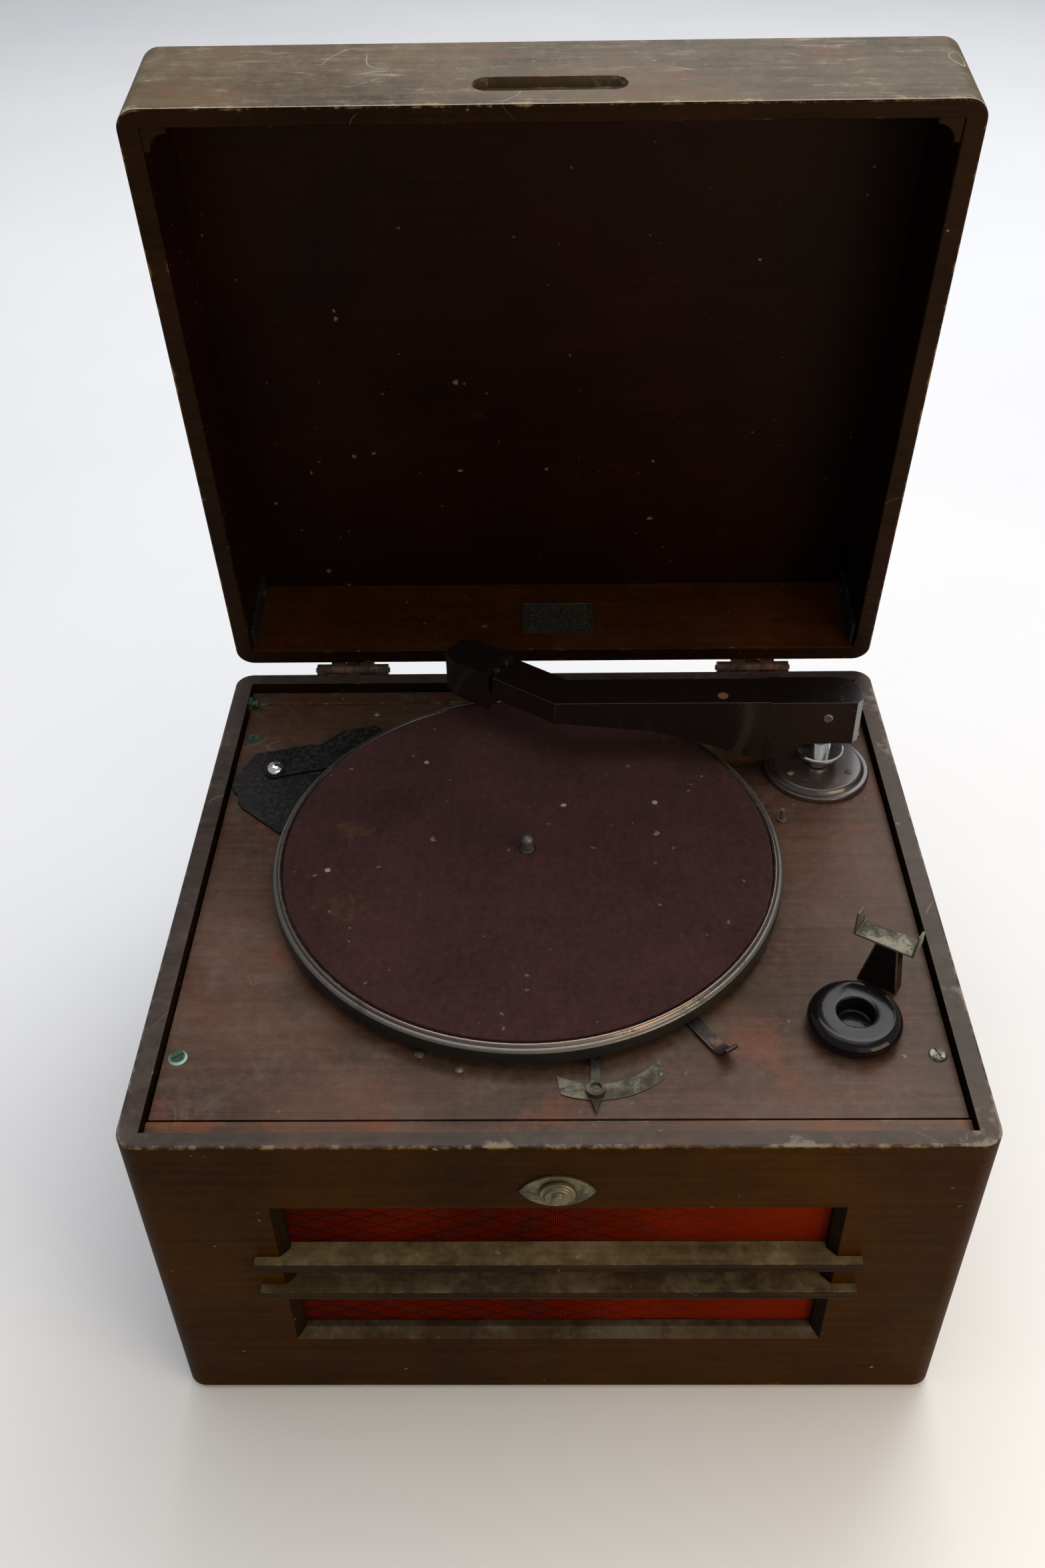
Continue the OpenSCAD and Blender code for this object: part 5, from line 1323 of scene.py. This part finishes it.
@dataclass
class Lid:
    """The lid: a shallow box with rounded corners and a finger slot, built shut."""

    corner: float = 11.5
    top_round: float = 3.0
    rim_round: float = 1.2
    edge_round: float = 0.9
    slot_round: float = 2.5
    front_wall: float = 10.0
    ceiling: float = 307.0
    slot_length: float = 80.0
    slot_height: float = 16.0
    slot_depth: float = 6.0
    slot_level: float = 263.06
    plaque: tuple[float, float, float] = (50.0, 0.8, 31.0)
    plaque_middle: tuple[float, float] = (4.0, 271.42)
    plaque_border: float = 1.6

    def shell(self) -> Solid:
        """Builds the lid's walls and top in one piece.

        Returns:
            The shell, with its faces sorted by finish.
        """
        block = outer_block(LID_RIM, LID_TOP, self.corner)
        unworn(ease(block, self.top_round, 4, which=lambda edge: at_level(edge, LID_TOP)))
        room = box_between((-INNER_X, -HALF_DEPTH + self.front_wall, LID_RIM - 2.0),
                           (INNER_X, INNER_BACK, self.ceiling))
        shell = carved(block, room, self.slot_cutter())
        ease(shell, self.rim_round, 3, which=lambda edge: at_level(edge, LID_RIM))
        ease(shell, self.edge_round, 2, sharper_than=60.0)
        return sorted_faces(shell, self.finish_of)

    def slot_cutter(self) -> Solid:
        """Builds the finger slot's cutter, round at both ends and at its floor.

        Returns:
            The cutter.
        """
        reach, rise = self.slot_length / 2, self.slot_height / 2
        cutter = box_between((-reach, -HALF_DEPTH - 4.0, self.slot_level - rise),
                             (reach, -HALF_DEPTH + self.slot_depth, self.slot_level + rise))
        ease(cutter, rise - 0.01, 8, which=lambda edge: abs(edge.verts[0].co.y - edge.verts[1].co.y) > 1.0)
        return ease(cutter, self.slot_round, 4,
                    which=lambda edge: all(end.co.y > -HALF_DEPTH for end in edge.verts))

    def finish_of(self, face: Face) -> LidFace:
        """Sorts a face by where it lies and looks on the shut lid.

        Args:
            face: Face of the shell.

        Returns:
            Its finish.
        """
        middle, normal = face.calc_center_median(), face.normal
        if normal.z < -0.6 and middle.z < LID_RIM + 2.0:
            return LidFace.RIM
        if in_room(middle, self.front_wall) and middle.z < self.ceiling + 0.3:
            return LidFace.BACK if normal.y < -0.7 and middle.y > INNER_BACK - 2.0 else LidFace.INSIDE
        if normal.z > 0.7:
            return LidFace.TOP
        return LidFace.FRONT if middle.y < -HALF_DEPTH + 8.0 else LidFace.OUTSIDE

    def blank_plaque(self) -> Solid:
        """Builds the bare plaque: a thin plate with a narrow raised border.

        Returns:
            The plaque.
        """
        width, thickness, height = self.plaque
        across, level = self.plaque_middle
        plate = box_between((across - width / 2, INNER_BACK - thickness, level - height / 2),
                            (across + width / 2, INNER_BACK, level + height / 2))
        ease(plate, 0.2, 2)
        front = [face for face in plate.faces if face.normal.y < -0.99]
        bmesh.ops.inset_region(plate, faces=front, thickness=self.plaque_border, depth=0.0)
        bmesh.ops.inset_region(plate, faces=front, thickness=0.4, depth=-0.3)
        return plate

    def build(self) -> None:
        """Builds and dresses the lid and what is fixed to it."""
        shell = self.shell()
        bmesh.ops.transform(shell, matrix=SWING_OPEN, verts=shell.verts)
        piece("lid_shell", shell, "lid",
              (LID_WOOD, LID_FRONT_WOOD, LID_TOP_WOOD, LID_RIM_WOOD, LID_INSIDE_WOOD, LID_BACK_WOOD),
              ("lid_front_wall", "lid_side_walls", "lid_rear_wall", "lid_top_panel", "lid_corner_posts"))
        plate = self.blank_plaque()
        bmesh.ops.transform(plate, matrix=SWING_OPEN, verts=plate.verts)
        piece("blank_plaque", plate, "lid", DARK_PLAQUE, ("lid_plaque",))
        eased_copy("lid_corner_blocks", LID_RIM_WOOD, 0.5)
        eased_copy("stay_channels", PLATE_METAL, 0.4)
        eased_copy("hinge_lid_leaves", OLD_BRASS, 0.25)
        eased_copy("hinge_body_leaves", OLD_BRASS, 0.25)
        eased_copy("hinge_pins", OLD_BRASS, 0.3)


@dataclass
class Grille:
    """The grille: stretched cloth, two moulded slats and the volume control."""

    cloth: tuple[float, float] = (317.0, 150.0)
    cloth_plane: float = -186.6
    mouth_middle: float = 122.0
    knob_level: float = 203.0
    notch: float = 14.4
    slack: float = 0.28
    knob_plane: float = -197.5

    def stretched_cloth(self) -> Solid:
        """Builds the cloth as a fine sheet that is barely slack, notched at the control.

        Returns:
            The sheet.
        """
        sheet = bmesh.new()
        bmesh.ops.create_grid(sheet, x_segments=96, y_segments=46, size=0.5)
        bmesh.ops.scale(sheet, vec=(*self.cloth, 1.0), verts=sheet.verts)
        bmesh.ops.rotate(sheet, cent=(0, 0, 0), matrix=FORWARD.to_3x3(), verts=sheet.verts)
        bmesh.ops.translate(sheet, vec=(0.0, self.cloth_plane, self.mouth_middle), verts=sheet.verts)
        centre = Vector((0.0, self.cloth_plane, self.knob_level))
        bmesh.ops.delete(sheet, geom=[spot for spot in sheet.verts if (spot.co - centre).length < self.notch],
                         context="VERTS")
        for spot in sheet.verts:
            spot.co.y += self.slack * noise.noise(spot.co * 0.03)
        return sheet

    def slat(self, node: str, dusty: Finish) -> None:
        """Builds a slat, dusty above and dark in front.

        Args:
            node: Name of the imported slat.
            dusty: Finish of its top.
        """
        solid = sorted_faces(ease(copy_of(node), 0.5), lambda face: 0 if face.normal.z > 0.6 else 1)
        piece(node + ".eased", solid, "cabinet", (dusty, SLAT_FACE_WOOD), (node,))

    def knob(self) -> Solid:
        """Turns the stepped volume knob and its shaft.

        Returns:
            The knob.
        """
        profile = [(0.0, -20.0), (3.0, -20.0), (3.0, 0.0), (9.0, 0.0), (9.25, 0.4), (9.25, 1.3),
                   *arc((8.45, 1.5), 0.8, 0.0, 90.0), (7.2, 2.1), (6.9, 2.5),
                   *arc((6.0, 3.0), 0.7, 0.0, 90.0, 4), (4.9, 3.3), (3.4, 3.1), (2.9, 3.5),
                   *arc((1.9, 3.8), 0.9, 0.0, 90.0, 4), (0.0, 4.7)]
        return lathe(profile, (0.0, self.knob_plane, self.knob_level), 72, FORWARD)

    def build(self) -> None:
        """Builds and dresses the grille."""
        sheet = self.stretched_cloth()
        area = sum(face.calc_area() for face in sheet.faces) * MM * MM
        cloth = piece("grille_cloth.stretched", sheet, "cabinet", RED_CLOTH, ("grille_cloth",))
        self.slat("upper_slat", SLAT_WOOD)
        # The lower slat's top takes the darker finish, painted shade under the upper slat.
        self.slat("lower_slat", SHADED_SLAT_WOOD)
        eased_copy("escutcheon_plate", DULL_BRONZE, 0.35)
        piece("volume_knob.turned", self.knob(), "knob", DULL_BRONZE, ("volume_knob",))


class PlatterFace(IntEnum):
    """Finishes of the platter's faces: outer band, bead beside the mat, skirt and below."""

    BAND = 0
    BEAD = 1
    SKIRT = 2


@dataclass
class Turntable:
    """The turntable: beaded metal rim, felt mat and spindle."""

    place: tuple[float, float] = (-16.0, 7.5)
    radius: float = 151.0
    low: float = 236.5
    top: float = 247.5
    seat: float = 245.5
    mat_radius: float = 144.5
    mat_top: float = 248.0
    bore: float = 4.6
    hub: float = 14.0
    band: float = 3.1

    def platter(self) -> Solid:
        """Turns the platter, with a bead beside the mat, a groove and a rounded outer edge.

        Returns:
            The platter, with its faces sorted by finish.
        """
        edge, low, seat, top = self.radius, self.low, self.seat, self.top
        profile = [(self.bore, seat), (edge - 6.2, seat), (edge - 6.0, top - 1.2),
                   *arc((edge - 4.6, top - 1.4), 1.4, 170.0, 20.0, 7), (edge - self.band, top - 1.5),
                   (edge - 2.9, top - 1.7), (edge - 2.5, top - 1.5),
                   *arc((edge - 2.4, top - 3.9), 2.4, 80.0, 0.0, 6), (edge, low + 0.6), (edge - 0.6, low),
                   (edge - 3.0, low), (edge - 3.0, seat - 3.0), (self.hub, seat - 3.0), (self.hub, low),
                   (5.4, low), (5.4, seat - 3.2), (self.bore, seat - 3.2)]
        return sorted_faces(lathe(profile, (*self.place, 0.0), 160), self.finish_of)

    def finish_of(self, face: Face) -> PlatterFace:
        """Sorts a face of the platter by its slope and its distance from the middle.

        Args:
            face: Face of the platter.

        Returns:
            Its finish.
        """
        middle = face.calc_center_median()
        if face.normal.z < 0.25 or middle.z < self.seat - 1.0:
            return PlatterFace.SKIRT
        reach = (middle.xy - Vector(self.place)).length
        return PlatterFace.BEAD if reach < self.radius - self.band else PlatterFace.BAND

    def mat(self) -> Solid:
        """Turns the felt mat with soft edges.

        Returns:
            The mat.
        """
        edge, top, hole = self.mat_radius, self.mat_top, self.bore + 0.2
        profile = [(hole, self.seat), (edge - 0.3, self.seat), (edge, self.seat + 0.4), (edge, top - 0.9),
                   *arc((edge - 0.8, top - 0.8), 0.8, 20.0, 90.0, 4), (edge - 20.0, top),
                   (edge * 0.6, top), (edge * 0.3, top), (hole + 0.6, top), (hole, top - 0.5)]
        return lathe(profile, (*self.place, 0.0), 160)

    def build(self) -> None:
        """Builds and dresses what turns with the turntable."""
        piece("platter.turned", self.platter(), "platter", (RIM_ENAMEL, RIM_BEAD, SKIRT_ENAMEL),
              ("turntable",), crease=30.0)
        piece("felt_mat", self.mat(), "platter", PLUM_FELT, ("turntable_mat",))
        dress(("spindle",), DULL_STEEL)
        dress(("motor_rotor",), CHASSIS_METAL)


@dataclass
class PickupArm:
    """The pick-up arm: moulded base, bright post, arm and head."""

    pivot: tuple[float, float] = (170.0, 98.0)
    base_radius: float = 33.5
    base_height: float = 7.0
    base_bore: float = 3.1

    def base(self) -> Solid:
        """Turns the stepped base with its stem.

        Returns:
            The base.
        """
        edge, top, bore = self.base_radius, DECK + self.base_height, self.base_bore
        profile = [(bore, DECK - 8.6), (4.8, DECK - 8.6), (4.8, DECK), (edge - 0.4, DECK), (edge, DECK + 0.5),
                   *arc((edge - 1.3, DECK + 2.6), 1.3, 0.0, 90.0, 4), (edge - 3.2, DECK + 3.9),
                   (edge - 3.6, DECK + 4.3), *arc((edge - 6.4, top - 2.0), 2.0, 10.0, 90.0, 4),
                   (12.0, top), (9.6, top - 0.5), (7.6, top - 0.5), (bore, top - 0.5)]
        return lathe(profile, (*self.pivot, 0.0), 96)

    def build(self) -> None:
        """Builds and dresses the arm."""
        piece("arm_base.turned", self.base(), "cabinet", BASE_RESIN, ("arm_base",))
        eased_copy("arm_turret", BRIGHT_METAL, 0.3)
        eased_copy("arm_tube", ARM_RESIN, 2.0, 4)
        eased_copy("pickup_head", ARM_RESIN, 1.6, 4)
        eased_copy("lift_pin", DULL_STEEL, 0.2)
        dress(("needle",), BRIGHT_METAL)


@dataclass
class NeedleCup:
    """The glossy needle cup: a fat round ring with a flat top and a deep mouth."""

    place: tuple[float, float] = (159.0, -115.0)
    radius: float = 25.3
    height: float = 13.0
    mouth: float = 10.0

    def bowl(self) -> Solid:
        """Turns the cup.

        Returns:
            The cup.
        """
        round_off = self.height / 2
        middle = self.radius - round_off
        profile = [(0.0, 0.0), (middle, 0.0), *arc((middle, round_off), round_off, -80.0, 78.0, 14),
                   (middle - 1.6, self.height - 0.2), (self.mouth + 3.0, self.height - 0.3),
                   *arc((self.mouth + 1.1, self.height - 1.6), 1.1, 80.0, 180.0, 5), (self.mouth, 4.2),
                   *arc((self.mouth - 1.7, 4.2), 1.7, 0.0, -90.0, 4), (0.0, 2.5)]
        return lathe(profile, (*self.place, DECK), 96)

    def build(self) -> None:
        """Builds and dresses the cup."""
        piece("needle_cup.turned", self.bowl(), "cabinet", BLACK_RESIN, ("needle_cup",))


def driver_slot(reach: Point, floor: float, place: tuple[float, float], turn: float) -> Solid:
    """Builds the cutter of a screw's slot.

    Args:
        reach: Half its length, half its width and the level of its top above the deck.
        floor: Level of the slot's floor above the deck.
        place: Middle of the screw.
        turn: Turn of the slot, in degrees.

    Returns:
        The cutter.
    """
    slot = box_between((-reach[0], -reach[1], floor), reach)
    seat = Matrix.Translation((*place, DECK)) @ Matrix.Rotation(math.radians(turn), 4, "Z")
    bmesh.ops.transform(slot, matrix=seat, verts=slot.verts)
    return slot


class ScrewFace(IntEnum):
    """Finishes of the board's screws."""

    PALE = 0
    DARK = 1
    GREY = 2


@dataclass
class DeckFittings:
    """Screws, plates, levers and the arm rest on the motor board."""

    screw_places: tuple[Point, ...] = (
        (-200.0, -134.0, 35.0), (200.0, -134.0, 110.0), (-200.0, 134.0, 80.0), (200.0, 134.0, 20.0))
    washer_bore: float = 3.4
    nut_place: tuple[float, float] = (-180.5, 97.0)
    nut_turn: float = 28.0
    finger_place: tuple[float, float] = (20.05, -157.4)
    finger_level: float = 2.7

    def board_screws(self) -> Solid:
        """Cuts a slot across each of the countersunk screws in their cup washers.

        Returns:
            The screws, with their faces sorted by finish.
        """
        slots = [driver_slot((4.2, 0.5, 3.0), 0.75, (x, y), turn) for x, y, turn in self.screw_places]
        screws = ease(carved(copy_of("board_screws"), *slots), 0.12, 1)
        return sorted_faces(screws, self.screw_finish)

    def screw_finish(self, face: Face) -> ScrewFace:
        """Picks a face's finish: the left screws are green, and the front one's washer is pale.

        Args:
            face: Face of a screw or its washer.

        Returns:
            Its finish.
        """
        spot = face.calc_center_median().xy
        x, y, _ = min(self.screw_places, key=lambda place: (spot - Vector(place[:2])).length)
        if x > 0.0:
            return ScrewFace.GREY
        inside = (spot - Vector((x, y))).length < self.washer_bore
        return ScrewFace.DARK if inside or y > 0.0 else ScrewFace.PALE

    def ringed_lever(self) -> Solid:
        """Hollows the speed lever's finger piece, so that it is a ring.

        Returns:
            The lever, with its finger piece and its stem sorted by finish.
        """
        bore = lathe([(0.0, 3.0), (2.9, 3.0), (3.3, 5.2), (0.0, 5.2)], (*self.finger_place, DECK), 32)
        lever = ease(carved(copy_of("speed_lever"), bore), 0.3, 2)
        level = DECK + self.finger_level
        return sorted_faces(lever, lambda face: 0 if face.calc_center_median().z > level else 1)

    def stop_nut(self) -> Solid:
        """Turns the domed nut and cuts its driver slot.

        Returns:
            The nut.
        """
        profile = [(0.0, 0.2), (2.0, 0.2), (2.0, 4.2), (6.0, 4.2), *arc((0.0, 3.0), 6.3, 14.0, 86.0, 10),
                   (0.0, 9.3)]
        dome = lathe(profile, (*self.nut_place, DECK), 64)
        slot = driver_slot((7.0, 0.6, 12.0), 7.6, self.nut_place, self.nut_turn)
        return ease(carved(dome, slot), 0.12, 1)

    def build(self) -> None:
        """Builds and dresses the fittings."""
        piece("board_screws.slotted", self.board_screws(), "cabinet",
              (PALE_GREEN_BRASS, DARK_GREEN_BRASS, GREY_SCREW), ("board_screws",))
        piece("stop_nut.slotted", self.stop_nut(), "cabinet", BRIGHT_METAL, ("autostop_nut",))
        eased_copy("wood_screws", GREY_SCREW, 0.15, 1)
        eased_copy("stay_lug", DARK_GREEN_BRASS, 0.25)
        eased_copy("autostop_plate", PLATE_METAL, 0.5)
        eased_copy("autostop_lever", PLATE_METAL, 0.3)
        eased_copy("speed_scale", SCALE_BRONZE, 0.15)
        piece("speed_lever.ringed", self.ringed_lever(), "speed_control", (SCALE_BRONZE, STEM_BRONZE),
              ("speed_lever",))
        eased_copy("start_lever", LEVER_METAL, 0.3)
        eased_copy("arm_rest_post", BLACK_RESIN, 0.8, 3)
        eased_copy("arm_rest_cradle", CRADLE_METAL, 0.3)


@dataclass
class Works:
    """What the case holds: loudspeaker, amplifier and motor."""

    dressed: dict[str, Finish] = field(default_factory=lambda: {
        "speaker_frame": CHASSIS_METAL, "speaker_cone": PAPER, "speaker_magnet": IRON,
        "volume_control": CHASSIS_METAL, "amplifier_chassis": CHASSIS_METAL, "valves": VALVE,
        "mains_transformer": IRON, "motor_frame": CHASSIS_METAL, "motor_stator": IRON,
        "governor": OLD_BRASS})

    def build(self) -> None:
        """Dresses the works, and eases the one piece that shows from behind."""
        for node, finish in self.dressed.items():
            dress((node,), finish)
        eased_copy("mains_inlet", BLACK_RESIN, 0.4)


@dataclass
class Softbox:
    """A broad lamp that hangs at a place and looks at the object."""

    name: str
    place: Point
    size: float
    power: float
    colour: Point
    aim: Point = (0.0, 0.0, 0.25)

    def hang(self) -> None:
        """Makes the lamp."""
        lamp = bpy.data.lights.new(self.name, "AREA")
        lamp.size = self.size
        lamp.energy = self.power
        lamp.color = self.colour
        made = linked(self.name, lamp)
        made.location = self.place
        look = Vector(self.aim) - Vector(self.place)
        made.rotation_euler = look.to_track_quat("-Z", "Y").to_euler()


@dataclass
class Studio:
    """Camera at the photograph's angle, soft lamps, and a plain pale floor."""

    eye: Point = (-3.037, -622.888, 841.9)
    yaw: float = -0.018265
    pitch: float = 0.686017
    roll: float = -0.018243
    focal_length: float = 2180.56
    image_height: float = 2352.0
    shift: tuple[float, float] = (-0.0035, -0.0235)
    sky: Colour = (0.9, 0.93, 1.0, 1.0)
    sky_strength: float = 0.4
    floor_size: float = 9.0
    floor_tones: tuple[Colour, Colour] = (tint(226, 226, 228), tint(232, 232, 233))
    lamps: tuple[Softbox, ...] = (
        Softbox("window", (0.7, 2.2, 3.1), 2.4, 74.0, (0.96, 0.98, 1.0)),
        Softbox("ceiling", (0.1, 0.4, 2.8), 2.6, 36.0, (1.0, 0.98, 0.95)),
        Softbox("side_fill", (1.0, -0.9, 0.45), 0.8, 9.5, (1.0, 0.76, 0.42)),
        Softbox("front_fill", (0.9, -2.1, 1.0), 1.6, 7.0, (1.0, 0.82, 0.58)))

    def camera(self) -> None:
        """Sets the camera where the photograph was taken from."""
        forward = Vector((math.sin(self.yaw) * math.cos(self.pitch),
                          math.cos(self.yaw) * math.cos(self.pitch), -math.sin(self.pitch)))
        level = Vector((math.cos(self.yaw), -math.sin(self.yaw), 0.0))
        up = level.cross(forward)
        right = math.cos(self.roll) * level + math.sin(self.roll) * up
        top = -math.sin(self.roll) * level + math.cos(self.roll) * up
        data = bpy.data.cameras.new("camera")
        data.sensor_width = 36.0
        data.lens = self.focal_length * data.sensor_width / self.image_height
        data.shift_x, data.shift_y = self.shift
        made = linked("camera", data)
        turn = Matrix((right, top, -forward)).transposed().to_4x4()
        made.matrix_world = Matrix.Translation(TO_FRAME @ Vector(self.eye)) @ turn
        bpy.context.scene.camera = made

    def floor(self) -> None:
        """Lays the plain pale floor."""
        ground = bmesh.new()
        bmesh.ops.create_grid(ground, x_segments=4, y_segments=4, size=self.floor_size)
        data = bpy.data.meshes.new("floor")
        ground.to_mesh(data)
        ground.free()
        p = Paint("pale_floor")
        cloud = p.noise(1.5, 3.0)
        colour = p.ramp(cloud, (0.3, self.floor_tones[0]), (0.7, self.floor_tones[1]))
        data.materials.append(p.surface(p.noise(400.0, 2.0), 0.05, 0.2, Base_Color=colour,
                                        Roughness=0.75 + (cloud - 0.5) * 0.1))
        linked("floor", data)

    def build(self) -> None:
        """Sets the scene."""
        self.camera()
        world = bpy.data.worlds.new("studio")
        world.use_nodes = True
        backdrop = world.node_tree.nodes["Background"]
        backdrop.inputs["Color"].default_value = self.sky
        backdrop.inputs["Strength"].default_value = self.sky_strength
        bpy.context.scene.world = world
        bpy.context.scene.view_settings.view_transform = "Standard"
        self.floor()
        for lamp in self.lamps:
            lamp.hang()


def main() -> None:
    """Builds every sub-assembly in order."""
    logging.basicConfig(level=logging.INFO, format="%(message)s")
    for assembly in (Studio(), Case(), Lid(), Grille(), Turntable(), PickupArm(), NeedleCup(),
                     DeckFittings(), Works()):
        LOG.info("building: %s", type(assembly).__name__)
        assembly.build()


if __name__ == "__main__":
    main()
